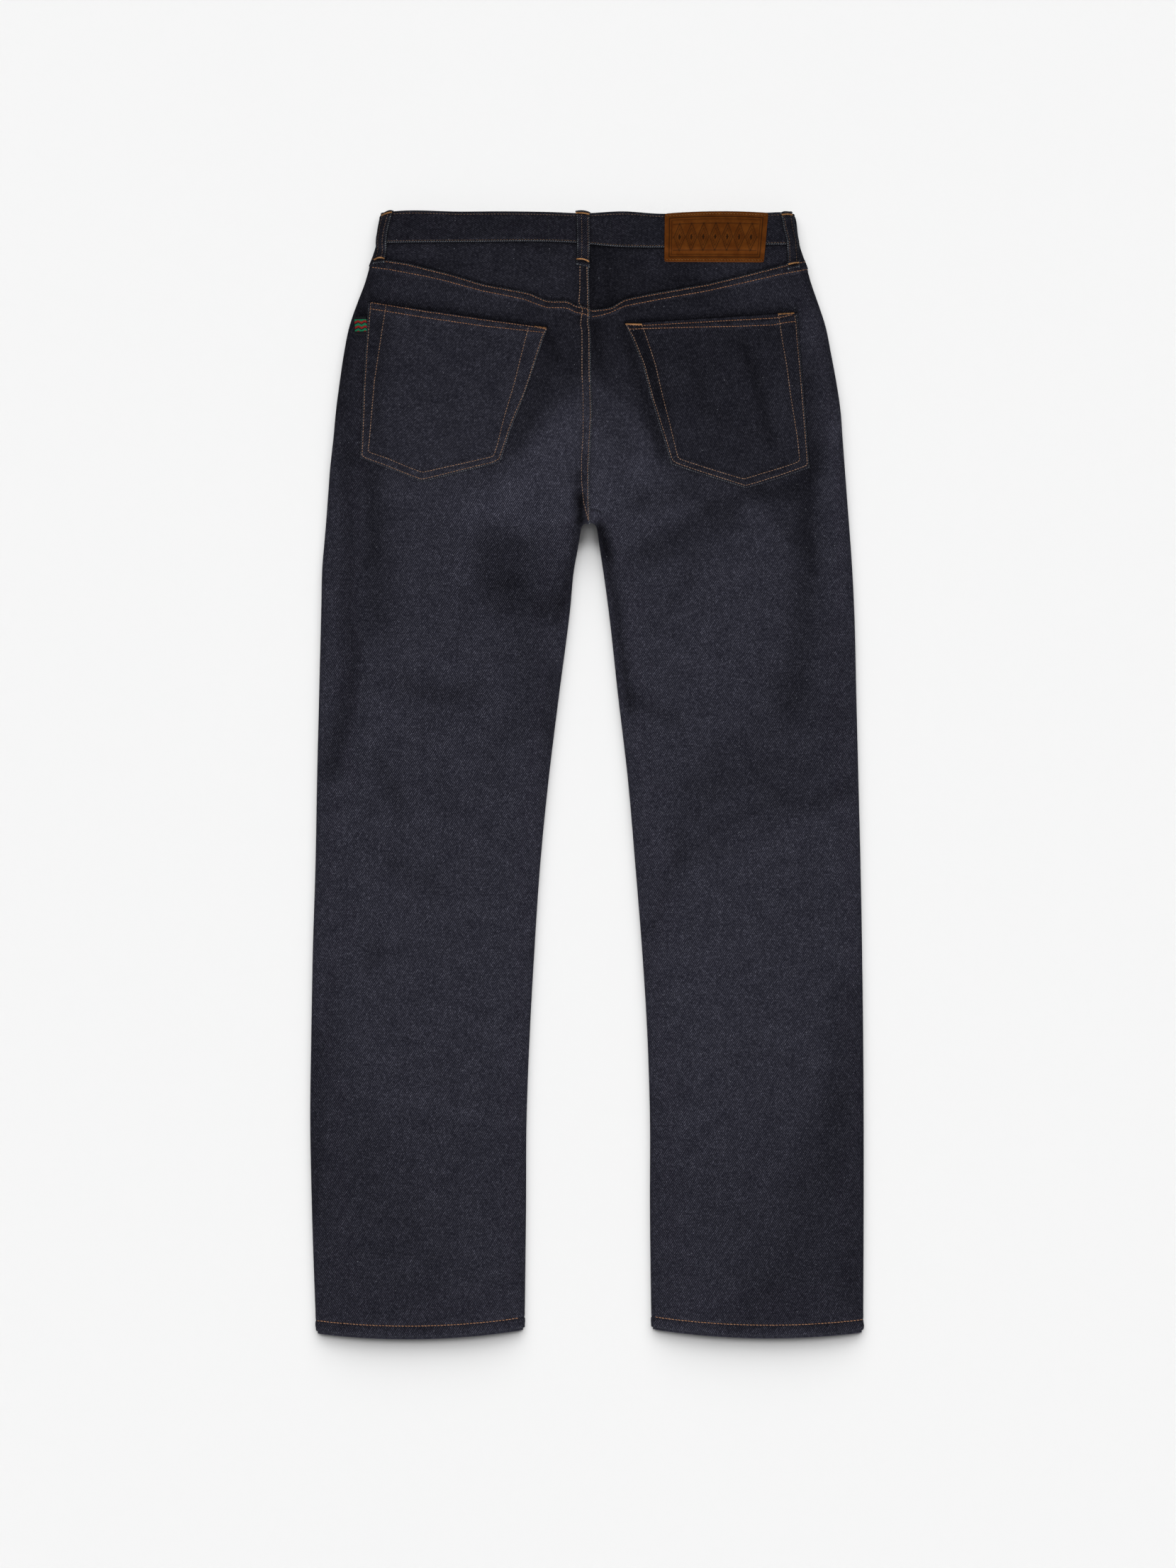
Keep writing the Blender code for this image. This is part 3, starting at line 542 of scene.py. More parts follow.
def buildDenim(name, crossGrain=False, contrast=1.0, uneven=0.6):
    look = denimLook
    material, tree, shader = newMaterial(name, look["roughness"], look["specular"])
    cloth = marked(tree, "cloth")
    parts = split(tree, cloth)
    if crossGrain:  # the warp runs across the jeans in the yokes and the waistband
        cloth = join(tree, parts[1], times(tree, parts[0], -1.0), parts[2])
    clear = times(tree, parts[2], contrast)
    weave = addNode(tree, "Group", node_tree=twillGroup)
    specks = addNode(tree, "Group", node_tree=nepGroup)
    dashes = addNode(tree, "Group", node_tree=dashGroup)
    for value, node, socket in ((cloth, weave, "Cloth"), (clear, weave, "Contrast"), (cloth, specks, "Cloth"),
                                (marked(tree, "fold"), dashes, "Fold")):
        tree.links.new(value, node.inputs[socket])
    dashes.inputs["Uneven"].default_value = uneven
    # The cloth's colour is multiplied by painted light and shade
    paintedShading = addNode(tree, "CombineColor", dict.fromkeys(range(3), marked(tree, "paintedShading", "Fac"))).outputs[0]
    colour = mixColour(tree, weave.outputs["Weft"], look["warp"], look["weft"])
    colour = mixColour(tree, 1.0, colour, paintedShading, "MULTIPLY")
    # Painted shade along folded edges: the edge darkens towards the bare warp
    colour = mixColour(tree, dashes.outputs["HollowShade"], colour, look["warp"])
    colour = mixColour(tree, dashes.outputs["Mask"], colour, look["dash"])
    colour = mixColour(tree, times(tree, specks.outputs["Mask"], look["nepShare"]), colour, look["nep"])
    height = scaled(tree, dashes.outputs["Mask"], look["dashRise"], weave.outputs["Height"])
    coat(tree, shader, colour, height, look["bump"], look["weave"])
    return material


# Twisted sewing thread: "strand" holds the run along a stitch, the turn round it and how bright it is
def buildThreadTwist():
    tree, inputs, outputs = newGroup(
        "threadTwist", [("Strand", "Vector", None), ("Pitch", "Float", 0.8)], ["Shade", "Height"])
    parts = split(tree, inputs["Strand"])
    ply = maths(tree, "PINGPONG", maths(tree, "ADD", over(tree, parts[0], inputs["Pitch"]), parts[1]), 0.5)
    tree.links.new(times(tree, parts[2], ramp(tree, ply, 0.0, 0.3, 0.45, 1.0)), outputs["Shade"])
    tree.links.new(ramp(tree, ply, 0.02, 0.34), outputs["Height"])
    return tree


twistGroup = buildThreadTwist()


def buildThread(name, dark, light, roughness=0.55):
    material, tree, shader = newMaterial(name, roughness, 0.12)
    twist = addNode(tree, "Group", node_tree=twistGroup)
    tree.links.new(marked(tree, "strand"), twist.inputs["Strand"])
    colour = mixColour(tree, twist.outputs["Shade"], dark, light)
    coat(tree, shader, colour, twist.outputs["Height"], 0.6, 0.12)
    return material


leatherLook = dict(
    base=(0.080, 0.0205, 0.0020), dark=(0.020, 0.007, 0.0016), pale=(0.112, 0.032, 0.0040),
    roughness=0.5, specular=0.04, blotch=(0.11, 5.0), fine=(0.9, 4.0), pores=1.3, wornShare=0.4,
)


def buildLeather():
    look = leatherLook
    material, tree, shader = newMaterial("patchLeather", look["roughness"], look["specular"])
    cloth, masks = marked(tree, "cloth"), split(tree, marked(tree, "print"))
    blotch = noiseOn(tree, cloth, *look["blotch"], Roughness=0.6)
    fine = noiseOn(tree, cloth, *look["fine"], Roughness=0.7)
    colour = mixColour(tree, ramp(tree, blotch, 0.35, 0.68), look["base"], look["pale"])
    colour = mixColour(tree, ramp(tree, fine, 0.42, 0.30, 0.0, 0.65), colour, look["dark"])
    colour = mixColour(tree, masks[0], colour, look["dark"])
    colour = mixColour(tree, times(tree, masks[1], look["wornShare"]), colour, look["pale"])
    tree.links.new(ramp(tree, fine, 0.3, 0.7, 0.62, 0.44), shader.inputs["Roughness"])
    pores = cellsOn(tree, cloth, look["pores"])["Distance"]
    coat(tree, shader, colour, scaled(tree, pores, 0.5, fine), 0.5, 0.12)
    return material


tabLook = dict(ground=(0.012, 0.012, 0.015), green=(0.012, 0.22, 0.095), red=(0.36, 0.022, 0.018),
               shade=(0.01, 0.01, 0.012), pick=0.5)


def buildTabCloth():
    look = tabLook
    material, tree, shader = newMaterial("tabCloth", 0.8, 0.05)
    masks = split(tree, marked(tree, "print"))
    picks = maths(tree, "PINGPONG", over(tree, split(tree, marked(tree, "cloth"))[1], look["pick"]), 0.5)
    colour = mixColour(tree, masks[0], look["ground"], look["green"])
    colour = mixColour(tree, masks[1], colour, look["red"])
    colour = mixColour(tree, ramp(tree, picks, 0.1, 0.4, 0.5, 0.0), colour, look["shade"])
    coat(tree, shader, colour, picks, 0.5, 0.15)
    return material


def buildMetal():
    material, tree, shader = newMaterial("buttonMetal", 0.36, metallic=1.0)
    worn = noiseOn(tree, addNode(tree, "TexCoord").outputs["Object"], 420.0, 4.0)
    colour = mixColour(tree, ramp(tree, worn, 0.4, 0.62), (0.16, 0.085, 0.05), (0.42, 0.25, 0.15))
    tree.links.new(ramp(tree, worn, 0.35, 0.7, 0.5, 0.28), shader.inputs["Roughness"])
    coat(tree, shader, colour, worn, 0.25, 0.1)
    return material


denim = buildDenim("denim")
denimAcross = buildDenim("denimAcross", crossGrain=True, contrast=0.6, uneven=0.3)
leather, tabCloth, buttonMetal = buildLeather(), buildTabCloth(), buildMetal()
# The first colour of each thread is painted shade in the hollows of its twist
threadColours = dict(  # in the hollows and on top
    orange=((0.080, 0.030, 0.015), (0.38, 0.20, 0.115)), beige=((0.070, 0.036, 0.024), (0.33, 0.21, 0.145)),
    brown=((0.030, 0.018, 0.014), (0.115, 0.075, 0.055)), tack=((0.13, 0.045, 0.012), (0.52, 0.27, 0.11)),
    patch=((0.05, 0.018, 0.006), (0.20, 0.085, 0.022)), grey=((0.010, 0.012, 0.013), (0.055, 0.062, 0.065)),
)
threads = {kind: buildThread("thread" + kind.title(), *colours) for kind, colours in threadColours.items()}
print("materials built")


# The back panels: legs and seat

grid = dict(
    under=(10, 8.2, 6.6, 5.2, 4.0, 3.0, 2.1, 1.3, 0.7, 0.25),
    top=(0, 0.3, 0.8, 1.6, 2.8, 4.4, 6.5, 9.5, 14),
    nearEnd=(14, 12, 10.6, 9.8, 9.1, 8.5, 7.9, 7.2, 6.3, 5, 3.6, 2.6, 1.75, 0.9, 0.4, 0.15),
    across=46, legStep=5.0, seatStep=4.6, archStep=6,
    hem=(0, 0.4, 0.9, 1.6, 2.8, 4.4, 6.4, 8.6, 10.4, 11.6, 12.7, 13.8, 15.2, 17.5, 21, 25, 30),
    nearFold=(14.8, 12.5, 10.8, 9.8, 9.0, 8.3, 7.6, 6.9, 6.2, 5.3, 4.2, 3.0, 2.1, 1.4, 0.8, 0.4, 0.15, 0),
)
underSteps, topSteps = np.array(grid["under"]), np.array(grid["top"], float)
endSteps = np.array(grid["nearEnd"], float)
acrossShares = np.arange(1, grid["across"]) / grid["across"]
hemShares = curveThrough((0, 14.7, 52, 90, 133, 160), (1, 0.93, 0.6, 0.25, 0.0, 0.0))
seatColumns = len(underSteps) + len(topSteps) + len(acrossShares) + len(endSteps) + 1
mapColumn = len(underSteps) + len(topSteps) + 20  # the column that the weave is measured from
notHem = 999.0  # stands for the height above the hem, in rows well above it


def gapPoint(side, y):
    # a point on the inner edge of a leg, and the way into the cloth from it
    slope = float(gapEdge[side](y + 1) - gapEdge[side](y - 1)) / 2
    return np.array([float(gapEdge[side](y)), y]), np.array([side, -side * slope]) / math.hypot(1, slope)


def hemShifter(side, outer, inner, share):
    def shift(x, under):
        across = (x - outer) / (inner - outer)
        return share * (hemLine(side, across, under) - outline["hemCorners"][side][0])

    return shift


def turnedUnder(rows):
    return np.concatenate([np.arange(len(row)) < len(underSteps) for row in rows])


def endLine(side):
    if side == left:  # the left of the seat laps over the right
        return seatFoldX
    return lambda y: leftRowX(y) - 0.3


def acrossX(start, end):
    span = np.abs(end - start)
    reach = np.concatenate([acrossShares * (span - endSteps[0]), span - endSteps])
    return start + np.sign(end - start) * reach


def columnX(side, y):
    edge = sideEdge[side](y)
    a, b = len(underSteps), len(underSteps) + len(topSteps)
    x = np.empty(len(y))
    x[:a] = edge[:a] - side * underSteps
    x[a:b] = edge[a:b] - side * topSteps
    end = endLine(side)(y)
    start = edge - side * body["strip"]
    span, n = np.abs(end - start)[b:-1], len(acrossShares)
    reach = np.concatenate([acrossShares * (span[:n] - endSteps[0]), span[n:] - endSteps])
    x[b:-1] = start[b:-1] - side * reach
    x[-1] = end[-1]
    return x


def seatPoints(side, heightAt):
    under = np.arange(seatColumns) < len(underSteps)
    y = np.full(seatColumns, 400.0)
    for _ in range(6):
        x = columnX(side, y)
        y = heightAt(x, under)
    inset = np.where(under, np.abs(x - sideEdge[side](y)), 0)
    z = np.where(under, underHeight(y, inset), topHeight(x, y, fromOuter=np.abs(x - sideEdge[side](y))))
    return np.stack([x, y, z], 1)


def edgeAlongUnder(line, side, height):
    edge = float(sideEdge[side](height))
    return lambda x, under: np.where(under, line(edge), line(x))


def legPoints(side, edge, into, hemShare, shiftX=None):
    middleY = float((edge + body["strip"] * into)[1])
    outer = float(sideEdge[side](middleY))
    hemShift = hemShifter(side, outer, edge[0], max(hemShare, 0.0))
    x = outer - side * underSteps
    y = middleY + hemShift(x, True) + 0 * x
    points = [np.stack([x, y, underHeight(y, underSteps)], 1)]
    x = outer - side * topSteps
    y = middleY + hemShift(x, False) + 0 * x
    points.append(np.stack([x, y, topHeight(x, y, fromOuter=topSteps)], 1))
    inner = edge + topSteps[::-1, None] * into
    if shiftX is not None:
        inner[:, 0] += shiftX(inner[:, 1])
    x = acrossX(outer - side * body["strip"], inner[0, 0])
    y = middleY + hemShift(x, False) + 0 * x
    points.append(np.stack([x, y, topHeight(x, y)], 1))
    x, y = inner[:, 0], inner[:, 1] + hemShift(inner[:, 0], False)
    points.append(np.stack([x, y, topHeight(x, y, fromGap=topSteps[::-1])], 1))
    insets = np.append(underSteps[::-1], body["inseamInset"])
    below = edge + insets[:, None] * into
    if shiftX is not None:
        below[:, 0] += shiftX(below[:, 1])
    x, y = below[:, 0], below[:, 1] + hemShift(below[:, 0], True)
    points.append(np.stack([x, y, underHeight(y, insets)], 1))
    return np.concatenate(points)


def legRows(side):
    foot = outline["hemCorners"][side][0]
    ups = list(grid["hem"]) + list(np.arange(35, 133, grid["legStep"]))
    stations = [(foot + up + hemLook["drawn"] * (1 - float(smoothStep(up / 8))), float(hemShares(up)), up)
                for up in ups]
    stations += [(y, 0.0, notHem) for y in np.arange(-398, 227, grid["legStep"])]
    rows, marks = [], []
    for y, share, up in stations:
        rows.append(legPoints(side, *gapPoint(side, y), share))
        marks.append(up)
    crotch = outline["crotchX"] + side * 0.15
    for degrees in range(grid["archStep"], 91, grid["archStep"]):
        weight = float(smoothStep((degrees - 45) / 45))
        edge, into = archPoint(side, degrees)
        rows.append(legPoints(side, edge, into, 0.0, lambda y: weight * (endLine(side)(y) - crotch)))
        marks.append(notHem)
    return rows, marks


def seatRise(x, y):
    inSeam = smoothStep((y - seam["seatStart"] + 4) / 6)
    return seam["rise"] * inSeam * smoothStep((x - leftRowX(y) + 0.3 + seam["shoulder"]) / seam["shoulder"])


# How clearly the twill lines stand out, partly the weave's own and partly painted sheen where light grazes
# the twill: a level, and spots with their middle, reach and share
shine = dict(level=0.72, spots=(
    (-70, 215, 62, 0.5), (-150, 40, 120, 0.2), (-190, -330, 120, 0.1), (170, -420, 130, 0.1),
    (60, 250, 40, 0.1), (190, 20, 90, 0.05), (90, 420, 160, -0.35), (-120, 400, 110, -0.25)))


def shineAt(x, y):
    total = np.full(np.shape(x), shine["level"])
    for sx, sy, reach, height in shine["spots"]:
        total = total + height * np.exp(-((x - sx) ** 2 + (y - sy) ** 2) / reach ** 2)
    return np.clip(total, 0.1, 1.0)


# Painted light and shade on the denim, where the cloth catches the light or lies in shade. Areas: border,
# softness, share. Strokes: run, half width, share
seatPaintedAreas = (
    (((-300, 560), (-232, 300), (-205, 292), (-82, 292), (-62, 305), (-50, 325), (-35, 345), (-15, 362),
      (2, 380), (20, 362), (45, 345), (60, 320), (78, 292), (150, 268), (190, 262), (225, 290),
      (300, 560)), 10, -0.4),
    (((-112, 225), (-100, 245), (-80, 243), (-62, 225), (-45, 205), (-20, 205), (-15, 190), (-20, 160),
      (-38, 145), (-60, 150), (-90, 155), (-105, 175), (-113, 200)), 9, -0.22),
    (((40, 202), (58, 228), (90, 243), (120, 262), (150, 262), (138, 235), (112, 212), (80, 203)), 9, -0.2),
    (((150, 268), (215, 292), (215, 200), (185, 225), (170, 250)), 9, -0.28),
    (((165, 95), (200, 95), (255, 60), (256, -12), (225, -38), (165, -58), (115, -88), (78, -70), (90, -10),
      (130, 40), (160, 60)), 16, -0.15),
    (((-270, -230), (-250, -240), (-225, -290), (-190, -350), (-150, -420), (-130, -470), (-120, -560),
      (-300, -560)), 28, -0.14),
    (((270, -180), (255, -220), (235, -290), (205, -340), (190, -400), (180, -450), (140, -500), (120, -560),
      (300, -560)), 22, -0.22),
    (((-300, -330), (300, -330), (300, -600), (-300, -600)), 70, -0.1),
)
seatPaintedStrokes = (
    (((0, 440), (0, 395)), 30, -0.22), (((-62, 330), (-40, 380), (-38, 410)), 11, -0.2),
    (((36, 425), (47, 385), (60, 345), (72, 305)), 6, -0.42), (((-38, 425), (-28, 395)), 4, -0.38),
    (((8, 430), (12, 400)), 6, -0.38), (((-95, 262), (-50, 295), (-8, 345)), 22, 0.12),
    (((-3, 345), (35, 312), (60, 280)), 16, 0.08), (((-4, 330), (-4, 280)), 6, -0.15),
    (((-6, 263), (-6.5, 252), (-6, 242)), 5.8, -0.82), (((-9, 285), (-9, 262)), 5, -0.35),
    (((11.5, 237), (16, 225), (20, 208)), 6, -0.62),
    (((14, 232), (20, 205), (28, 160), (36, 100), (42, 60)), 5, -0.42),
    (((-8, 238), (-13, 205), (-20, 170), (-28, 150)), 6, -0.38), (((-32, 90), (-40, 0)), 8, -0.2),
    (((-85, 180), (-65, 182)), 7, -0.22), (((-42, 155), (-30, 165)), 8, -0.25),
    (((-117, 215), (-112, 185), (-97, 148)), 4, 0.12), (((60, 140), (88, 172), (105, 205)), 10, -0.14),
    (((212, 300), (210, 215), (207, 170), (204, 120), (197, 70)), 17, -0.34),
    (((216, 290), (214, 230), (216, 190)), 5, -0.14),
    (((250, -12), (215, -22), (175, -18), (165, 5)), 10, -0.18), (((130, -10), (105, -35)), 15, -0.1),
    (((88, -60), (85, -90), (70, -125), (60, -150)), 8, -0.2), (((42, 75), (60, 62), (85, 55)), 7, -0.24),
    (((-229, 300), (-227, 200), (-228, 150), (-222, 110), (-229, 60), (-238, 30), (-243, 5)), 11, -0.38),
    (((-195, 5), (-185, -10), (-178, -30)), 9, -0.26), (((-140, -5), (-132, -30)), 10, -0.13),
    (((-172, 85), (-130, 75), (-105, 85)), 10, -0.22), (((-92, 14), (-88, 0)), 11, -0.14),
    (((-185, -85), (-165, -100)), 9, -0.14), (((-150, -102), (-145, -108)), 9, -0.14),
    (((-205, -180), (-200, -165)), 9, -0.14), (((-190, -110), (-180, -160)), 8, 0.08),
    (((-190, 60), (-185, 40)), 12, 0.08), (((-122, 20), (-118, 10)), 12, 0.08),
    (((-258, -250), (-258, -330), (-260, -420)), 8, -0.18), (((240, -320), (232, -380)), 12, -0.14),
    (((250, -440), (252, -500)), 10, -0.14), (((200, 275), (140, 262), (95, 282)), 14, -0.26),
    (((-200, 285), (-100, 282)), 14, -0.16), (((-210, 290), (-200, 230), (-198, 150)), 17, -0.34),
    (((-75, 190), (-55, 130), (-52, 70)), 22, -0.2), (((213, 375), (212, 305)), 7, -0.2),
    (((232, 140), (238, 60)), 12, -0.16), (((3, 350), (18, 330), (38, 310)), 12, -0.22),
    (((-203, 280), (-205, 200)), 8, -0.18), (((218, 435), (228, 390), (235, 330)), 14, 0.48),
    (((60, 150), (110, 120), (150, 150)), 30, 0.07), (((38, 447), (80, 452), (125, 462)), 8, -0.3),
    (((0, 300), (-3, 270), (-2, 243)), 5, -0.25), (((52, 262), (95, 265), (135, 245)), 16, -0.28),
    (((-190, 250), (-150, 245)), 20, -0.12), (((-75, 40), (-45, 45)), 14, -0.16),
    (((242, -205), (240, -305)), 17, -0.18), (((-243, -195), (-243, -275)), 10, -0.14),
    (((150, -420), (170, -480)), 35, -0.08), (((-195, 466), (-130, 455), (-75, 447)), 8, 0.28),
    (((-215, 441), (-150, 438)), 5, -0.3), (((180, 277), (203, 282)), 9, 0.4),
    (((110, -130), (115, -380)), 45, 0.06), (((205, -532), (165, -536)), 12, 0.18),
    (((205, 458), (155, 455)), 14, 0.3), (((212, 425), (195, 400)), 18, 0.3),
)
# Painted light and shade on the yokes
yokePaintedStrokes = (
    (((-165, 484), (-125, 484)), 7, -0.22), (((-50, 462), (-22, 468)), 14, 0.16),
    (((-30, 500), (-60, 502)), 5, -0.2), (((20, 495), (22, 450)), 10, -0.22),
    (((13, 490), (13, 455)), 3, 0.4), (((2, 500), (2, 455)), 14, -0.34), (((60, 500), (66, 480)), 9, 0.3),
    (((120, 478), (195, 492)), 16, 0.42), (((75, 472), (105, 470)), 5, -0.2),
)
# Painted light and shade on the back pockets
pocketPaintedStrokes = (
    (((-198, 430), (-203, 320)), 11, -0.3), (((50, 425), (62, 380), (72, 335)), 9, -0.26),
    (((-170, 412), (-125, 405)), 16, 0.1), (((148, 412), (160, 380), (168, 345), (174, 318)), 6, -0.32),
    (((100, 395), (112, 350), (128, 337)), 8, -0.18), (((45, 420), (60, 385), (72, 350)), 5, -0.28),
    (((180, 380), (188, 320)), 10, 0.18), (((90, 335), (95, 325)), 15, 0.1),
)
# Painted shade on whole pieces: darker where a piece takes less of the light
paintedPieceShade = dict(yokeBackLeft=0.60, yokeBackRight=0.45, waistbandCloth=0.50, beltLoop=0.50,
                 backPocketClothLeft=0.76, backPocketClothRight=0.52)


def sideOf(border, x, y):
    inside = np.zeros(np.shape(x), bool)
    for (ax, ay), (bx, by) in zip(border, border[1:] + border[:1]):
        crosses = (ay > y) != (by > y)
        inside ^= crosses & (x < (bx - ax) * (y - ay) / (by - ay + 1e-12) + ax)
    return np.where(inside, 1.0, -1.0)


# Painted light and shade, from soft areas and strokes
def paintedShadeAt(x, y, strokes, areas=()):
    paintedShading = np.ones(np.shape(x))
    for border, soft, share in areas:
        far = distanceTo(list(border + border[:1]), x, y) * sideOf(border, x, y)
        paintedShading *= 1 + share * smoothStep(0.5 + far / (2 * soft))
    for run, half, share in strokes:
        paintedShading *= 1 + share * bell(distanceTo(run, x, y), half)
    return paintedShading


def clothMap(rows, middle):
    # the run along each row, so that the weave follows the cloth round the folds
    out = []
    for row in rows:
        run = alongRow(row)
        sign = 1.0 if row[min(middle + 6, len(row) - 1), 0] > row[middle, 0] else -1.0
        u = row[middle, 0] + sign * (run - run[middle])
        out.append(np.stack([u, row[:, 1], shineAt(row[:, 0], row[:, 1])], 1))
    return np.concatenate(out)


# "Drawn" is how far the stitching draws the folded edge up
hemLook = dict(row=12.7, puff=0.55, edgeRadius=1.5, rope=0.32, ropeLength=11.0, drawn=2.2)


def hemRelief(x, up):
    row, inHem = hemLook["row"], up < hemLook["row"]
    arch = np.sin(math.pi * np.clip(up / row, 0, 1))
    puff = hemLook["puff"] * arch ** 0.7 * inHem
    wave = np.sin(2 * math.pi * (x + 0.55 * up) / hemLook["ropeLength"] + 2.5 * softNoise(x, 0 * x, 30, 5))
    rope = hemLook["rope"] * wave * arch * inHem
    ease = 0.22 * np.exp(-np.clip(up - row, 0, 40) / 7) * softNoise(x, up, 7.5, 8) * ~inHem
    return puff + rope + ease - 1.1 * dentAt(up - row)


def backPanel(side):
    name = f"backPanel{word[side]}"
    rows, ups = legRows(side)
    start, dense = outline["crotchY"] + body["strip"], np.array(grid["nearFold"])
    yokeLine = edgeAlongUnder(yokeFoldY, side, atSide["yokeFold"])
    steps = int(round((470 - start - dense[0]) / grid["seatStep"]))
    for t in np.arange(1, steps) / steps:
        rows.append(seatPoints(side, lambda x, under: mix(start, yokeLine(x, under) - dense[0], t)))
        ups.append(notHem)
    for d in dense:
        rows.append(seatPoints(side, lambda x, under: yokeLine(x, under) - d))
        ups.append(notHem)
    points = np.concatenate(rows)
    up = np.concatenate([np.full(len(r), u) for r, u in zip(rows, ups)])
    x, y = points[:, 0], points[:, 1]
    isUnder = turnedUnder(rows)
    toYoke = yokeLine(x, isUnder) - y
    lowerGap = np.where(isUnder, 7.0, yokeFoldY(x) - lowerRowY(x))
    rise = seam["rise"] * smoothStep((lowerGap + seam["shoulder"] + 0.3 - toYoke) / seam["shoulder"])
    rise = rise * (1 - 0.6 * bell(x - sideEdge[side](y), 7) * (y > 300))
    high = rise - dentAt(toYoke - seam["yokeFold"]) - dentAt(toYoke - lowerGap)
    high -= roundedEdge(toYoke, seam["foldRadius"])
    dist = np.maximum(toYoke - lowerGap, 0)
    high += pucker(x, np.where(toYoke > lowerGap, dist, 0), 6.0, 0.32, 12)
    between = np.clip(toYoke / np.maximum(lowerGap, 1), 0, 1)
    high += 0.18 * softNoise(x, y, 6.0, 15) * np.sin(math.pi * between) * (toYoke < lowerGap)
    low = rise - 1.25
    seatPart = y > seam["seatStart"]
    if side == left:
        raised = np.where(seatPart, seatRise(x, y), 0)
        high += raised - np.where(seatPart, roundedEdge(seatFoldX(y) - x, seam["foldRadius"]), 0)
        low = low + raised
    near = smoothStep((y - seam["seatStart"]) / 8)
    high -= near * (dentAt(x - leftRowX(y)) + (dentAt(x - rightRowX(y)) if side == left else 0))
    fromSeam = np.where(side == left, leftRowX(y) - x, x - seatFoldX(y))
    high += near * pucker(y, np.maximum(fromSeam, 0), 5.0, 0.30, 22)
    hemPart = up < 60
    high = high + np.where(hemPart, hemRelief(x, up), 0)
    high = high - np.where(hemPart, roundedEdge(up, hemLook["edgeRadius"]), 0)
    low = low - np.where(hemPart, 0.5 * (1 - np.clip(up / 1.2, 0, 1)), 0)
    high = np.maximum(high, low + 0.15)
    cloth = clothMap(rows, mapColumn)
    strength = bell(toYoke - 0.5, 0.7) * 0.55 * (~isUnder)
    along, off = x.copy(), toYoke.copy()
    if side == left:
        toFold = seatFoldX(y) - x
        onSeat = seatPart & (toFold < toYoke)
        along, off = np.where(onSeat, y, along), np.where(onSeat, toFold, off)
        strength = np.where(onSeat, 0.8 * bell(toFold - 0.5, 0.7), strength)
    hemStrength = np.where(hemPart, 0.12 * bell(up - 0.4, 0.8), 0)
    strength = np.maximum(strength, hemStrength)
    along, off = np.where(hemStrength > 0.01, x, along), np.where(hemStrength > 0.01, up, off)
    edge = np.stack([along, off, strength], 1)
    # Painted light and shade on the seat and legs, and painted shade along the hem's lower edge
    paintedShading = paintedShadeAt(x, y, seatPaintedStrokes, seatPaintedAreas) * (1 - 0.4 * bell(up, 1.3))
    return clothPiece(name, rows, low, high, denim, cloth, edge, paintedShading, flip=side == right)


for side in (left, right):
    backPanel(side)
print("back panels", [len(pieces[n].data.polygons) for n in pieces])


# The yokes, between the seat and the waistband

def yoke(side):
    name = f"yokeBack{word[side]}"
    start = edgeAlongUnder(lambda x: lowerRowY(x) + 0.4, side, atSide["yokeFold"])
    fold = edgeAlongUnder(yokeFoldY, side, atSide["yokeFold"])
    edge = float(sideEdge[side](atSide["bandLow"]))

    def bandEdge(x, under):
        return np.where(under, bandLow(edge) - frontDropAtSide(side), bandLow(x))

    above = (0.0, 0.4, 0.9, 1.6, 2.6, 4.0, 5.5)
    rules = [lambda x, u, t=t: mix(start(x, u), fold(x, u), t) for t in np.linspace(0, 1, 4)[:-1]]
    rules += [lambda x, u, d=d: fold(x, u) + d for d in above]
    rules += [lambda x, u, t=t: mix(fold(x, u) + above[-1], bandEdge(x, u) - 4.5, t)
              for t in np.linspace(0, 1, 14)[1:]]
    rules += [lambda x, u, d=d: bandEdge(x, u) - d for d in (3.2, 2.2, 1.4, 0.7, 0.2, -0.8, -2.2)]
    rows = [seatPoints(side, rule) for rule in rules]
    points = np.concatenate(rows)
    x, y = points[:, 0], points[:, 1]
    isUnder = turnedUnder(rows)
    fromFold = y - fold(x, isUnder)
    toBand = bandEdge(x, isUnder) - y
    high = pucker(x, np.maximum(fromFold, 0), 4.0, 0.26, 31)
    high = high + pucker(x, np.maximum(toBand, 0), 5.0, 0.34, 34)
    high += 1.1 * bell(x - sideEdge[side](y), 7)
    low = np.full(len(x), -1.25)
    strength = np.zeros(len(x))
    if side == left:
        raised = seatRise(x, y)
        high += raised - roundedEdge(seatFoldX(y) - x, seam["foldRadius"])
        low += raised
        strength = 0.6 * bell(seatFoldX(y) - x - 0.5, 0.7)
        high -= dentAt(x - leftRowX(y)) + dentAt(x - rightRowX(y))
    high = np.maximum(high, low + 0.15)
    edgeMarks = np.stack([y, seatFoldX(y) - x, strength], 1)
    # Painted light and shade on the yoke, and painted shadow under the waistband's edge
    paintedShading = paintedPieceShade[name] * paintedShadeAt(x, y, yokePaintedStrokes) * (1 - 0.25 * bell(toBand, 4.0))
    paintedShading = paintedShading * (1 - 0.6 * bell(np.maximum(toBand - 0.3, 0), 1.0))
    cloth = clothMap(rows, mapColumn)
    return clothPiece(name, rows, low, high, denimAcross, cloth, edgeMarks, paintedShading, flip=side == right)


def frontDropAtSide(side):
    edge = float(sideEdge[side](atSide["bandLow"]))
    return float(frontDrop(edge - side * 10.0, atSide["bandLow"]))


for side in (left, right):
    yoke(side)
print("yokes")


# The waistband: one ring with rounded edges, lapped at the centre front

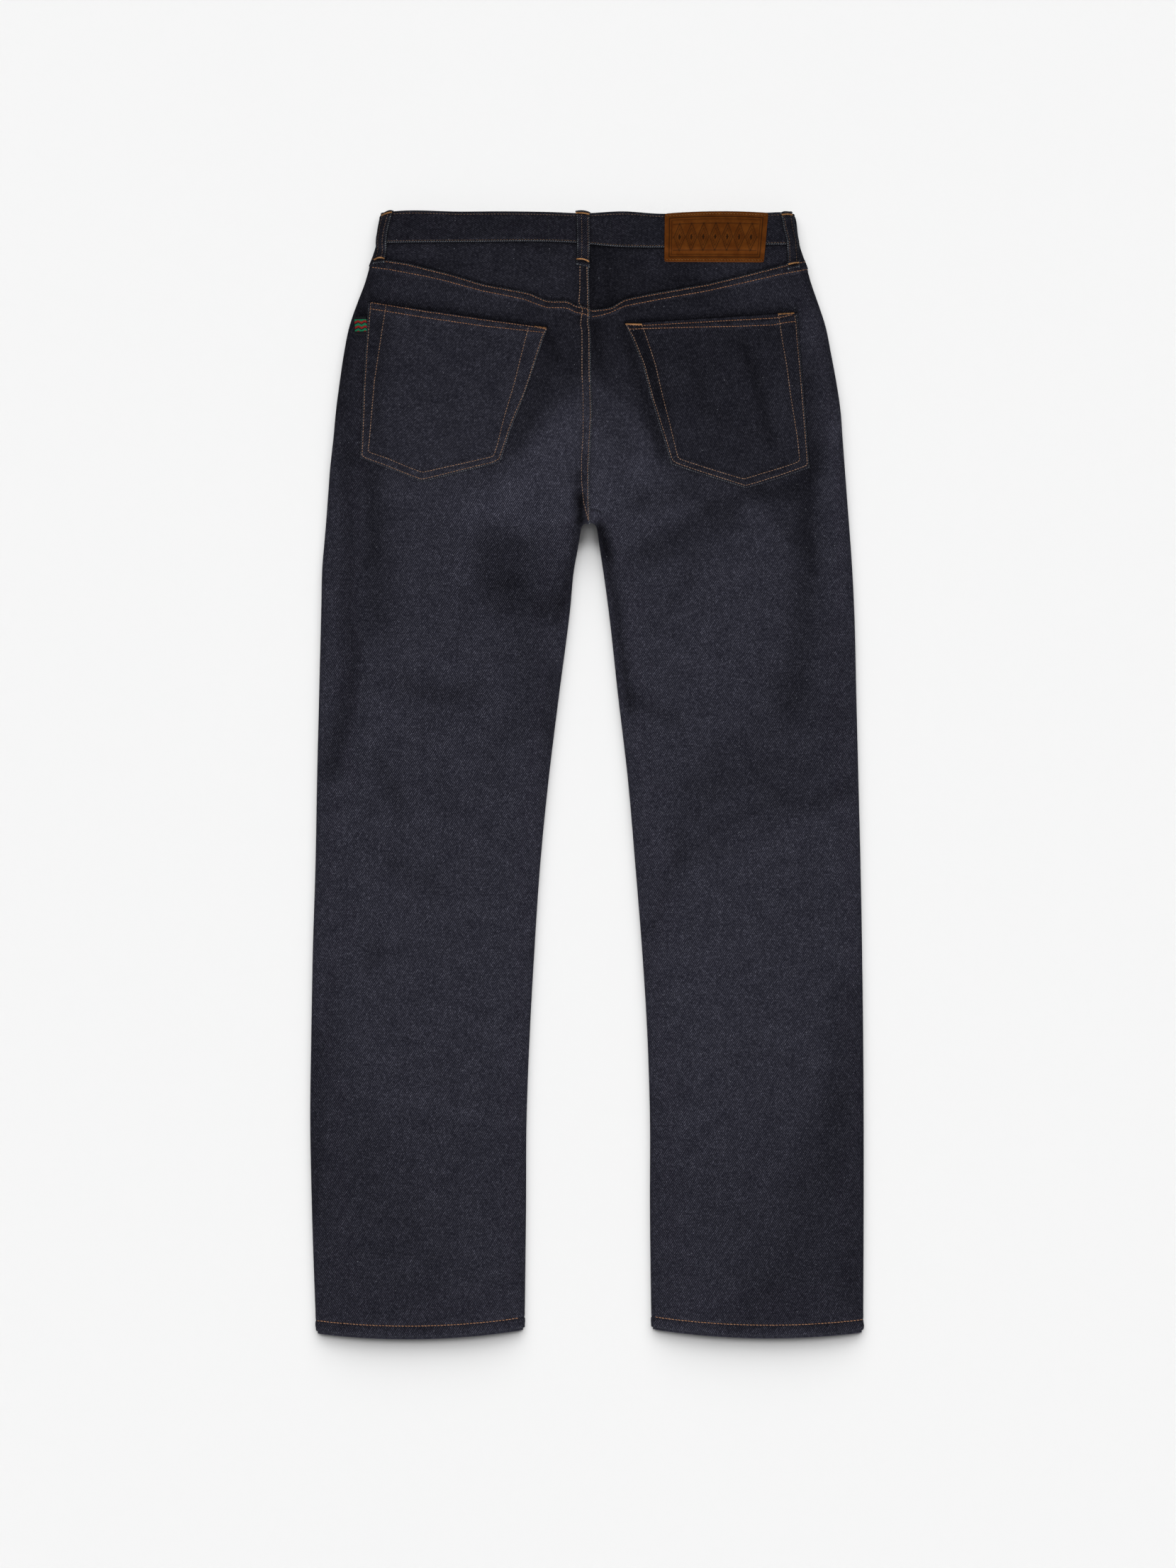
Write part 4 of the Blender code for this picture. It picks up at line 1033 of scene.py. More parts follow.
bandLook = dict(
    high=1.45, low=-1.2, edgeRadius=1.3, overlap=3.0, topRow=2.5, lowRow=2.0,
    overEnd=12.0, underEnd=-14.0, lapFrom=25.0, lapRise=2.9,
    across=96, frontStep=6.5, underStep=5.5, middle=6,
    fromLow=(0, 0.15, 0.4, 0.8, 1.3, 1.9, 2.5, 3.2, 3.8, 5.0),
    fromTop=(4.6, 3.4, 2.6, 1.9, 1.3, 0.8, 0.4, 0.15, 0),
)


def bandLowAt(x, under):
    return bandLow(x) - np.where(under, frontDrop(x, atSide["bandLow"]), 0.0)


def bandTopAt(x, under):
    return bandTop(x) - np.where(under, frontDrop(x, atSide["bandTop"]), 0.0)


def bandRow(heightAt):
    look = bandLook
    frontLeft = np.append(np.arange(look["overEnd"], -167, -look["frontStep"]), -172.0)
    underLap = np.arange(19.0, look["underEnd"] - 1, -look["underStep"])
    frontRight = np.append(-frontLeft[frontLeft < -24][::-1], underLap)
    n, m = len(underSteps) + len(topSteps), look["across"] - 1
    shares = np.arange(1, look["across"]) / look["across"]
    insets = np.concatenate([underSteps, topSteps])
    isUnder = np.arange(n) < len(underSteps)
    under = np.concatenate([isUnder, np.zeros(m, bool), isUnder[::-1]])
    y = np.full(2 * n + m, 515.0)
    for _ in range(6):
        yl, yr, ym = y[:n], y[n + m:], y[n:n + m]
        xl, xr = sideEdge[left](yl) + insets, sideEdge[right](yr) - insets[::-1]
        start, end = sideEdge[left](ym) + body["strip"], sideEdge[right](ym) - body["strip"]
        x = np.concatenate([xl, mix(start, end, shares), xr])
        y = heightAt(x, under)
    inset = np.concatenate([insets, np.zeros(m), insets[::-1]])
    z = topHeight(x, y)
    edges = np.concatenate([np.arange(n), np.arange(n) + n + m])
    z[edges] = np.where(under[edges], underHeight(y[edges], inset[edges]),
                        topHeight(x[edges], y[edges], fromOuter=inset[edges]))
    back = np.stack([x, y, z], 1)
    yl, yr = heightAt(frontLeft, True), heightAt(frontRight, True)
    first = np.stack([frontLeft, yl, floorHeight(yl)], 1)
    lapped = look["lapFrom"] - frontRight
    rise = np.where(lapped > 0, look["lapRise"], 0) * smoothStep(lapped / 8)
    last = np.stack([frontRight, yr, floorHeight(yr) + rise], 1)
    turned = np.concatenate([np.ones(len(first), bool), under, np.ones(len(last), bool)])
    return np.concatenate([first, back, last]), turned


def waistband():
    look = bandLook
    rules = [lambda x, u, d=d: bandLowAt(x, u) + d for d in look["fromLow"]]
    for t in np.linspace(0, 1, look["middle"] + 2)[1:-1]:
        rules.append(lambda x, u, t=t: mix(bandLowAt(x, u) + look["fromLow"][-1],
                                           bandTopAt(x, u) - look["fromTop"][0], t))
    rules += [lambda x, u, d=d: bandTopAt(x, u) - d for d in look["fromTop"]]
    rows, unders = zip(*(bandRow(rule) for rule in rules))
    x, y = np.concatenate(rows)[:, 0], np.concatenate(rows)[:, 1]
    under = np.concatenate(unders)
    fromLow, fromTop = np.maximum(y - bandLowAt(x, under), 0), np.maximum(bandTopAt(x, under) - y, 0)
    high = look["high"] - roundedEdge(fromLow, look["edgeRadius"]) - roundedEdge(fromTop, look["edgeRadius"])
    high = high - dentAt(fromLow - look["lowRow"]) - dentAt(fromTop - look["topRow"])
    between = smoothStep((fromLow - look["lowRow"]) / 4) * smoothStep((fromTop - look["topRow"]) / 4)
    high = high + 0.30 * softNoise(x, y, 8.5, 51) * between + 0.25 * softNoise(x, y, 21, 52) * between
    high = high + 0.16 * softNoise(x, 0 * y, 3.6, 53) * (1 - between)
    low = mix(0.12, look["low"], smoothStep((fromLow - look["overlap"]) / 0.8))
    low = low + 0.9 * roundedEdge(fromTop, 1.2)
    high = np.maximum(high, low + 0.15)
    lap = np.where((x > -20) & (x < look["lapFrom"]) & under & (y < 510), 0.0, 1.0)
    strength = (0.62 * bell(fromLow - 0.75, 0.42) + 0.22 * bell(fromTop - 0.4, 0.6)) * lap
    edge = np.stack([x, np.minimum(fromLow, fromTop) * -1.0, strength], 1)
    # Painted shade: a dark line between the low row and the rolled edge, and another at the edge itself
    paintedShading = paintedPieceShade["waistbandCloth"] * (1 - 0.6 * bell(fromLow - 1.4, 0.25) - 0.75 * bell(fromLow, 0.3))
    cloth = clothMap(rows, len(rows[0]) // 2)
    return clothPiece("waistbandCloth", rows, low, high, denimAcross, cloth, edge, paintedShading)


waistband()
print("waistband", len(pieces["waistbandCloth"].data.polygons))


# Belt loops

# Back loops: 0 is the centre one. "Inner" is how far in from the outline a side loop's inner edge lies,
# by height
loopLook = dict(
    length={0: 53.0, left: 50.5, right: 55.0}, above={0: 2.6, left: 2.4, right: 2.2},
    lowTack={0: 5.3, left: 4.2, right: 4.6}, topTack={0: 2.6, left: 2.4, right: 2.8},
    footBow={0: 1.3, left: 1.2, right: 0.3}, stitched={0: (9, 15), left: (7, 12), right: (7, 14)},
    inner={left: ((485, 13.6), (491, 12.2), (506, 9.8), (520, 9.8), (533, 10.4)),
           right: ((482, 18.6), (495, 13.8), (507, 11.4), (520, 12.6), (533, 12.4))},
    tilt={left: 0.4, right: 0.0}, footTilt={left: 0.12, right: -0.22}, wide=12.0, rise=1.6, centreX=-3.9,
    across=(0, 0.08, 0.3, 0.7, 1.2, 1.7, 2.3, 2.9, 3.6, 4.6, 6.0, 7.4, 8.4, 9.1, 9.7, 10.3, 10.8, 11.3, 11.7,
            11.92, 12),
    along=(0, 0.25, 0.6, 1.1, 1.7, 2.4, 3.1, 3.7, 4.2, 4.8, 5.4, 6.0, 6.8, 8, 10),
    frontX=104.0, warpStretch=1.45,
)


def laidLift(y, lowLine):
    return 0.4 + 1.3 * smoothStep((y - lowLine + 8.0) / 7.0)


def roundTheSide(side, y, innerInset, across):
    inset = 0.02 * np.arange(37) ** 2
    edge = float(sideEdge[side](y))
    over = np.stack([edge - side * inset, topHeight(edge - side * inset, np.full(37, y), fromOuter=inset)], 1)
    below = np.stack([edge - side * inset, underHeight(np.full(37, y), inset)], 1)
    distances = np.interp(innerInset, inset, alongRow(over)) - loopLook["wide"] + across
    x, z = np.empty(len(distances)), np.empty(len(distances))
    for path, use in ((over, distances >= 0), (below, distances < 0)):
        x[use], z[use] = (np.interp(abs(distances[use]), alongRow(path), path[:, k]) for k in (0, 1))
    return x, z


def centreLoopRow(across, y, s, length):
    off = across - loopLook["wide"] / 2
    width = 1.02 + 0.18 * bell(length - s, 3.4) + 0.08 * bell(s, 5.0)
    x = loopLook["centreX"] + off * width + 0.5 * math.sin(s / 17.0)
    skewed = y - off * mix(0.24, 0.11, s / length) - 0.035 * off ** 2 * bell(length - s, 3.0)
    return np.stack([x, skewed, topHeight(x, skewed)], 1)


def sideLoopRow(side, across, y, s, length):
    look = loopLook
    x, z = roundTheSide(side, y, np.interp(y, *np.array(look["inner"][side]).T), across)
    tilted = y + look["tilt"][side] * (across - 9) * float(smoothStep((s - length + 12) / 12))
    tilted = tilted + look["footTilt"][side] * (across - 9) * bell(s, 9.0)
    past = across - 7.5
    tilted = tilted - 0.10 * past ** 2 * bell(length - s, 2.5) * (past > 0)
    return np.stack([x, tilted, z], 1)


def beltLoop(name, side):
    look = loopLook
    across, ends, wide = np.array(look["across"]), np.array(look["along"]), look["wide"]
    edgeX = look["centreX"] if side == 0 else float(sideEdge[side](atSide["bandTop"]))
    length = look["length"][side]
    foot = float(bandTop(edgeX)) + look["above"][side] - length
    run = np.concatenate([ends, np.linspace(10, length - 10, 22)[1:-1], length - ends[::-1]])
    if side == 0:
        rows = [centreLoopRow(across, foot + s, s, length) for s in run]
    else:
        rows = [sideLoopRow(side, across, foot + s, s, length) for s in run]
    s, a = np.repeat(run, len(across)), np.tile(across, len(run))
    y = foot + s
    inward = smoothStep((a - 2) / 5) if side else 1.0
    lift = laidLift(y, float(bandLow(edgeX))) * mix(0.5, 1, inward)
    lift = lift + look["rise"] * inward * np.sin(math.pi * s / length) ** 2
    fromEdge, fromEnd = np.minimum(a, wide - a), np.minimum(s, length - s)
    tackAt = np.where(s < 26, s - look["lowTack"][side], length - s - look["topTack"][side])
    thick = mix(1.1, 1.85, inward) + 0.35 * bell(fromEdge - 1.2, 0.9) - 0.45 * bell(fromEdge - 2.3, 0.6)
    thick = thick + 0.75 * smoothStep((9 - fromEnd) / 2.5)
    thick = thick - roundedEdge(fromEdge, 1.0) - roundedEdge(fromEnd, 1.2)
    thick = thick - 1.15 * bell(tackAt, 0.95) + 0.22 * softNoise(a + 30 * side, s, 4.5, 61 + side)
    low = lift - 0.275 * bell(tackAt, 1.6)
    high = low + np.maximum(thick, 0.35)
    strength = 0.75 * bell(fromEdge - 0.55, 0.5) + 0.5 * bell(fromEnd - 0.7, 0.5)
    cloth = np.stack([a, y * look["warpStretch"], np.full(len(a), 1.15)], 1)
    nearest = np.minimum(fromEdge, fromEnd)
    along, off = np.where(fromEdge < fromEnd, y, a), np.where(a < 6, -1, 1) * nearest
    edge = np.stack([along, off, np.clip(strength, 0, 1)], 1)
    # Painted shade: a dark line round the loop's edges
    paintedShading = paintedPieceShade["beltLoop"] * (1 - 0.75 * bell(nearest, 0.32))
    return clothPiece(name, rows, low, high, denim, cloth, edge, paintedShading, flip=side == right)


def frontLoop(name, side):
    look = loopLook
    across = np.array(look["across"])
    x0, length = side * look["frontX"], look["length"][0]
    top = float(bandTopAt(x0, True)) + look["above"][0]
    run = np.linspace(0, length, 27)
    flat = np.zeros(len(across))
    rows = [np.stack([x0 - 6 + across, flat + top - length + s, flat], 1) for s in run]
    s, a = np.repeat(run, len(across)), np.tile(across, len(run))
    fromEdge = np.minimum(a, look["wide"] - a)
    high = 2.0 - roundedEdge(fromEdge, 0.8) - 0.2 * bell(fromEdge - 2.3, 0.6)
    cloth = np.stack([a, (top + s) * look["warpStretch"], np.full(len(a), 1.0)], 1)
    edge = np.stack([top + s, fromEdge, 0.6 * bell(fromEdge - 0.5, 0.5)], 1)
    return clothPiece(name, rows, 0.02, high, denim, cloth, edge, paintedPieceShade["beltLoop"], show=False)


beltLoop("beltLoopCentre", 0)
for side in (left, right):
    beltLoop(f"beltLoopBack{word[side]}", side)
    frontLoop(f"beltLoopFront{word[side]}", side)
print("belt loops")


# Back pockets: a patch with a rolled edge, laid on the seat

pocketLook = {
    left: dict(
        low=[(-216.1, 300.7), (-208.0, 297.7), (-194.0, 292.3), (-177.5, 286.1), (-157.1, 277.7),
             (-140.4, 281.9), (-113.4, 288.9), (-82.0, 296.7)],
        outer=[(-216.1, 300.7), (-214.6, 330), (-212.8, 372.6), (-210.2, 412), (-207.7, 449.6)],
        inner=[(-82.0, 296.7), (-77.6, 310.2), (-72.5, 327.0), (-61.6, 354.0), (-55.0, 372.6),
               (-40.3, 416.5), (-37.1, 424.6)],
        tip=4, turn=-10.0, shine=0.5),
    right: dict(
        low=[(211.6, 291.3), (188.0, 282.8), (172.5, 277.7), (151.3, 271.8), (136.4, 276.7),
             (105.0, 286.3), (80.0, 294.6)],
        outer=[(211.6, 291.3), (206.6, 359.1), (201.7, 416.5), (200.5, 439.4)],
        inner=[(80.0, 294.6), (75.3, 311.3), (69.5, 329.4), (60.6, 359.1), (52.7, 389.5), (42.2, 415.1),
               (35.6, 429.0)],
        tip=3, turn=5.0, shine=0.55),
}
pocketRows = {
    left: dict(
        outer=[(-205.7, 448.7), (-208.9, 406.4), (-211.1, 372.6), (-213.2, 317.9), (-214.0, 303.3),
               (-211.1, 301.1), (-193.5, 294.8), (-174.9, 287.3), (-157.3, 280.6), (-140.8, 284.5),
               (-113.4, 291.3), (-89.4, 297.0), (-83.8, 299.9), (-81.5, 307.0), (-78.1, 316.7),
               (-74.9, 327.2), (-70.3, 339.3), (-61.5, 359.1), (-56.7, 372.6), (-48.6, 398.2),
               (-42.6, 416.5), (-38.8, 424.2)],
        inner=[(-190.8, 448.2), (-196.4, 413.1), (-202.4, 372.6), (-207.0, 317.9), (-208.5, 307.8),
               (-207.0, 306.2), (-189.9, 300.5), (-171.3, 292.5), (-156.5, 287.1), (-140.8, 290.7),
               (-113.4, 296.8), (-91.9, 301.7), (-88.8, 302.9), (-87.3, 306.8), (-84.4, 316.5),
               (-80.7, 332.2), (-76.7, 346.6), (-73.0, 358.7), (-68.9, 372.6), (-61.4, 403.0),
               (-55.1, 427.3)],
        topOne=[(-205.7, 448.7), (-153.9, 440.1), (-99.9, 432.3), (-55.7, 426.4), (-38.1, 423.2)],
        topTwo=[(-206.8, 443.1), (-153.9, 434.4), (-99.9, 426.6), (-43.4, 420.5), (-40.5, 419.9)],
        tacks=[((-204.8, 450.0), (-190.8, 448.7)), ((-54.0, 427.5), (-38.5, 424.2))]),
    right: dict(
        outer=[(37.5, 428.0), (44.6, 415.3), (54.9, 389.4), (62.6, 359.1), (71.7, 330.9), (74.7, 321.0),
               (77.8, 310.7), (80.6, 300.8), (81.9, 298.4), (85.1, 296.1), (105.0, 289.2), (136.4, 279.3),
               (150.9, 274.7), (161.7, 277.7), (181.8, 284.0), (205.1, 292.1), (208.6, 293.6),
               (209.7, 295.3), (207.9, 318.6), (204.7, 359.1), (202.1, 389.5), (199.6, 416.1),
               (198.7, 430.0), (197.4, 438.4)],
        inner=[(52.2, 427.5), (57.4, 413.5), (65.2, 389.4), (72.1, 359.1), (79.2, 331.8), (82.7, 317.0),
               (85.3, 306.2), (86.8, 301.1), (90.0, 299.2), (111.6, 292.1), (142.0, 282.8),
               (149.5, 280.9), (163.2, 285.1), (182.9, 290.9), (199.8, 296.5), (202.4, 298.7),
               (200.5, 318.6), (194.0, 359.1), (190.0, 389.4), (185.9, 412.8), (183.9, 426.1),
               (182.2, 437.7)],
        topOne=[(37.5, 427.7), (52.3, 426.8), (97.9, 429.4), (143.1, 432.0), (176.9, 433.8),
                (185.9, 435.0), (197.5, 437.7)],
        topTwo=[(40.2, 423.4), (97.9, 425.2), (146.5, 426.2), (176.9, 427.4), (190.4, 430.0),
                (199.7, 430.9)],
        tacks=[((35.8, 428.3), (52.0, 427.9)), ((181.6, 437.6), (197.5, 438.7))]),
}
pocketSteps = np.array((0, 0.15, 0.4, 0.8, 1.3, 1.8, 2.4, 3.1, 4.0, 5.2, 6.4, 7.6, 8.8, 10.0, 11.4, 13.0))


def along(points, shares):
    points = np.array(points, float)
    run = alongRow(points)
    return np.stack([np.interp(shares * run[-1], run, points[:, k]) for k in (0, 1)], -1)


def denseShares(length, step):
    ends = pocketSteps[-1]
    middle = np.linspace(ends, length - ends, int((length - 2 * ends) / step) + 1)
    return np.concatenate([pocketSteps, middle[1:-1], length - pocketSteps[::-1]]) / length


def backPocket(side):
    look, rowsOf = pocketLook[side], pocketRows[side]
    lowRun = alongRow(np.array(look["low"]))
    tipShare = lowRun[look["tip"]] / lowRun[-1]
    across, up = denseShares(lowRun[-1], 4.0), denseShares(135.0, 4.0)
    across[np.argmin(abs(across - tipShare))] = tipShare
    low, outer, inner = along(look["low"], across), along(look["outer"], up), along(look["inner"], up)
    top = mix(outer[-1], inner[-1], across[:, None])
    s, t = across[None, :, None], up[:, None, None]
    flat = (1 - t) * low[None] + t * top[None] + (1 - s) * outer[:, None] + s * inner[:, None]
    corners = (1 - s) * (1 - t) * low[0] + s * (1 - t) * low[-1] + (1 - s) * t * top[0] + s * t * top[-1]
    flat = flat - corners
    x, y = flat[..., 0].ravel(), flat[..., 1].ravel()
    border = [tuple(p) for p in low] + [tuple(p) for p in inner[1:]] + [tuple(p) for p in top[::-1][1:]]
    border += [tuple(p) for p in outer[::-1][1:]]
    border = border[::2] + [border[0]]
    d = distanceTo(border, x, y)
    toTop = distanceTo([tuple(top[0]), tuple(top[-1])], x, y)
    z = topHeight(x, y)
    points = np.stack([x, y, z], 1).reshape(len(up), len(across), 3)
    high = 1.45 + 0.65 * smoothStep((12 - d) / 3) + 0.35 * smoothStep((8.5 - toTop) / 1.5)
    high = high - roundedEdge(d, 1.15)
    for key in ("outer", "inner", "topOne", "topTwo"):
        high = high - dentAt(distanceTo(rowsOf[key], x, y))
    high = high + 0.20 * softNoise(x, y, 7.0, 71 + side) * smoothStep(d / 3) * smoothStep((12 - d) / 4)
    high = high + 0.16 * softNoise(x, y, 16.0, 75 + side)
    high = np.maximum(high, 0.45)
    c, sn = math.cos(math.radians(look["turn"])), math.sin(math.radians(look["turn"]))
    cloth = np.stack([c * x + sn * y, c * y - sn * x, np.full(len(x), look["shine"])], 1)
    innerPart = np.where(abs(x) < 0.5 * (abs(outer[0, 0]) + abs(inner[0, 0])), 1.0, 0.45)
    strength = bell(d - 0.85, 0.32) * innerPart * (toTop > 1.5)
    run = np.where(toTop < 2, x, x * 0.25 + y)
    alongEdge = np.where(abs(y - np.interp(x, *np.array(sorted(look["low"])).T)) < 4, x, run)
    edge = np.stack([alongEdge, d, strength], 1)
    name = f"backPocketCloth{word[side]}"
    # Painted light and shade on the pocket, and painted shade as a dark line round its edge
    paintedShading = paintedPieceShade[name] * paintedShadeAt(x, y, pocketPaintedStrokes) * (1 - 0.75 * bell(d, 0.45))
    return clothPiece(name, list(points), 0.12, high, denim, cloth, edge, paintedShading, flip=side == right)


for side in (left, right):
    backPocket(side)
print("back pockets", len(pieces["backPocketClothLeft"].data.polygons))


# Leather patch with a pressed band of lozenges, and the small woven tab

patchLook = dict(
    leftTop=(74.0, 533.2), rightTop=(172.3, 534.0), rightLow=(168.3, 487.0), leftLow=(73.6, 487.5),
    size=(96.5, 46.2), thick=1.6, cell=0.75, ends=(0.12, 0.35), cornerCut=3.0, bow=1.9,
    frame=4.6, lozenges=7, bars=12.2, pressed=0.22,
)
tabShape = dict(
    x=(-220.5, -209.3), y=(418.0, 435.4), size=(11.2, 17.4), points=(41, 61), thick=0.95,
    zigzag=(3.2, 1.8), stripes=1.25, woven=(3, 14.6),
)


def fromBorder(u, v, size):
    return np.minimum(np.minimum(u, size[0] - u), np.minimum(v, size[1] - v))


def patchDesign(u, v):
    # u and v run from the lower left corner. Returns the pressed lines and a paler worn border
    look = patchLook
    width, height = look["size"]
    fromEdge = fromBorder(u, v, look["size"])
    line = bell(fromEdge - look["frame"], 0.42)
    line = np.maximum(line, 0.7 * bell(fromEdge - look["frame"] - 2.2, 0.3))
    inside = smoothStep((fromEdge - look["frame"] - 3.4) / 0.4)
    pitch = (width - 2 * look["frame"] - 8) / look["lozenges"]
    du = (u - look["frame"] - 4) / pitch
    du = abs(du - np.floor(du) - 0.5) * 2
    dv = abs(v - height / 2) / (height / 2 - look["frame"] - 4.5)
    reach = du + dv
    motif = bell(reach - 0.92, 0.07) + 0.8 * bell(reach - 0.58, 0.06) + (reach < 0.22)
    band = bell(v - height / 2 - look["bars"], 0.3) + bell(v - height / 2 + look["bars"], 0.3)
    motif = np.clip(motif * (dv < 1.0) + 0.8 * band, 0, 1)
    return np.clip(line + inside * motif, 0, 1), 1 - smoothStep(fromEdge / 1.5)


def patchSteps(length):
    steps, ends = np.linspace(0, length, int(length / patchLook["cell"])), np.array(patchLook["ends"])
    return np.concatenate([[0], ends, steps[1:-1], length - ends[::-1], [length]])


def printedPiece(name, rows, low, high, material, place, colours):
    verts, quads = sheetFrom(list(rows))
    solid, faces = shell(verts, quads, low, high)
    skins[name] = (solid[:len(verts)], quads)
    marks = {key: np.tile(np.stack([*values, 0 * values[0]], 1), (2, 1))
             for key, values in (("cloth", place), ("print", colours))}
    return makePiece(name, solid, faces, material, marks)


def leatherPatch():
    look = patchLook
    leftLow, leftTop, rightLow, rightTop = (
        np.array(look[k]) for k in ("leftLow", "leftTop", "rightLow", "rightTop"))
    width, height = look["size"]
    u, v = np.meshgrid(patchSteps(width), patchSteps(height))
    s, t = (u / width)[..., None], (v / height)[..., None]
    flat = mix(mix(leftLow, leftTop, t), mix(rightLow, rightTop, t), s)
    corners = np.minimum(u, width - u) + np.minimum(v, height - v)
    pull = np.clip(look["cornerCut"] - corners, 0, look["cornerCut"])[..., None] * 0.12
    centre = flat.mean(axis=(0, 1))
    flat = flat + np.sign(centre - flat) * pull
    flat[..., 1] += 4 * look["bow"] * (s * (1 - s) * t)[..., 0]
    x, y = flat[..., 0].ravel(), flat[..., 1].ravel()
    points = np.stack([x, y, topHeight(x, y)], 1).reshape(*u.shape, 3)
    u, v = u.ravel(), v.ravel()
    pressed, worn = patchDesign(u, v)
    low = laidLift(y, float(bandLow(120.0))) + 0.05
    high = low + look["thick"] - roundedEdge(fromBorder(u, v, look["size"]), 0.55) - look["pressed"] * pressed
    high = high - 0.3 * bell(np.minimum(v, height - v) - 2.0, 0.7)
    high = high + 0.10 * softNoise(u, v, 9.0, 81) + 0.25 * softNoise(u, v, 30.0, 82)
    return printedPiece("backPatch", points, low, high, leather, (u, v), (pressed, worn))


def wovenTab():
    look = tabShape
    us, vs = np.linspace(*look["x"], look["points"][0]), np.linspace(*look["y"], look["points"][1])
    x, y = np.meshgrid(us, vs)
    rows = np.stack([x + 0.5 * np.sin(y / 6), y, topHeight(x, y)], -1)
    u, v = (x - us[0]).ravel(), (y - vs[0]).ravel()
    zig = abs(((u / look["zigzag"][0]) % 2) - 1) * look["zigzag"][1]
    woven = (v > look["woven"][0]) * (v < look["woven"][1])
    wave = (v + zig) * look["stripes"]
    green = smoothStep((np.cos(wave) - 0.2) / 0.2) * woven
    red = smoothStep((np.cos(wave + 2.6) - 0.35) / 0.2) * woven
    low = 0.35 + 0.9 * smoothStep((u - 3.5) / 4) + 0.5 * bell(u, 2.0)
    high = low + look["thick"] - roundedEdge(fromBorder(u, v, look["size"]), 0.4)
    return printedPiece("pocketTab", rows, low, high, tabCloth, (u, v), (green, red))


leatherPatch()
wovenTab()
print("patch and tab")


# The hidden front: flat panels with hand pocket openings, their facings, and the turned-up hems

frontLook = dict(gap=0.3, tuck=2.2, scoopWidth=90.0, scoopY=423.2, facingMargin=16.0, facingTuck=1.5)
frontShares = np.linspace(0, 1, 31)


def frontLegRow(side, edge, into, hemShare, shares, gap):
    middleY = float((edge + body["strip"] * into)[1])
    outer = float(sideEdge[side](middleY))
    shift = hemShifter(side, outer, edge[0], hemShare)
    startX = outer - side * (body["outseamInset"] + gap)
    end = edge + (body["inseamInset"] + gap) * into
    x = mix(startX, end[0], shares)
    y = mix(middleY + shift(startX, True), end[1] + shift(end[0], True), shares)
    return np.stack([x, y, floorHeight(y)], 1)


def legStations(side, ups, step):
    foot = outline["hemCorners"][side][0]
    for up in ups:
        yield foot + up, float(hemShares(up))
    for y in np.arange(foot + ups[-1] + step, 227, step):
        yield y, float(hemShares(y - foot))


def scoopPoint(side, degrees):
    turn = math.radians(degrees)
    y = frontLook["scoopY"]
    x = float(sideEdge[side](y)) - side * body["outseamInset"]
    height = float(bandLowAt(x, True)) - y
    reach = frontLook["gap"] + frontLook["scoopWidth"] * math.sin(turn)
    return x - side * reach, y + height * (1 - math.cos(turn))


def frontPanel(side):
    rows = []
    for y, share in legStations(side, (0, 0.5, 1.2, 2.4, 4.4, 8.6, 11.6, 12.7, 13.8, 17.5, 25), 9.0):
        rows.append(frontLegRow(side, *gapPoint(side, y), share, frontShares, frontLook["gap"]))
    for degrees in range(15, 91, 15):
        rows.append(frontLegRow(side, *archPoint(side, degrees), 0.0, frontShares, frontLook["gap"]))
    low = outline["crotchY"] + body["strip"]
    line = [(float(sideEdge[side](y)) - side * (body["outseamInset"] + frontLook["gap"]), y)
            for y in np.arange(low + 9, frontLook["scoopY"] - 2, 9.0)]
    line += [scoopPoint(side, a) for a in range(0, 91, 6)]
    high, centreLow = line[-1][1], rows[-1][-1][1]
    for xOuter, yOuter in line:
        share = (yOuter - low) / (high - low)
        yCentre = mix(centreLow, float(bandLowAt(0.0, True)), share)
        xCentre = float(centreLine(yCentre)) + side * 0.15
        x, y = mix(xOuter, xCentre, frontShares), mix(yOuter, yCentre, frontShares)
        waist = bandLowAt(x, True) + frontLook["tuck"]
        y = mix(y, waist, smoothStep((share - 0.8) / 0.2))
        rows.append(np.stack([x, y, floorHeight(y)], 1))
    points = np.concatenate(rows)
    x, y = points[:, 0], points[:, 1]
    relief = -0.12 * (1 + softNoise(x, y, 12, 91)) - 0.2 * (1 + softNoise(x, y, 70, 92))
    return clothPiece(f"frontPanelCloth{word[side]}", rows, relief - body["ply"], relief, denim,
                      clothMap(rows, 8), None, 1.0, flip=side == left)


def pocketFacing(side):
    margin, width = frontLook["facingMargin"], frontLook["scoopWidth"]
    low = scoopPoint(side, 0)[1] - margin
    inset = body["outseamInset"] - frontLook["facingTuck"]
    rows = []
    for up in np.linspace(0, 1, 15):
        sideX = float(sideEdge[side](mix(low, atSide["bandLow"], up))) - side * inset
        reach = mix(margin, width + margin, math.sin(up * math.pi / 2))
        x = sideX - side * reach * np.linspace(0, 1, 17)
        y = mix(low, bandLowAt(x, True) + 1.5, up)
        rows.append(np.stack([x, y, floorHeight(y) + body["ply"] + 0.3], 1))
    return clothPiece(f"pocketFacingCloth{word[side]}", rows, 0.0, body["ply"], denim, clothMap(rows, 8),
                      None, 0.7, flip=side == right, show=False)


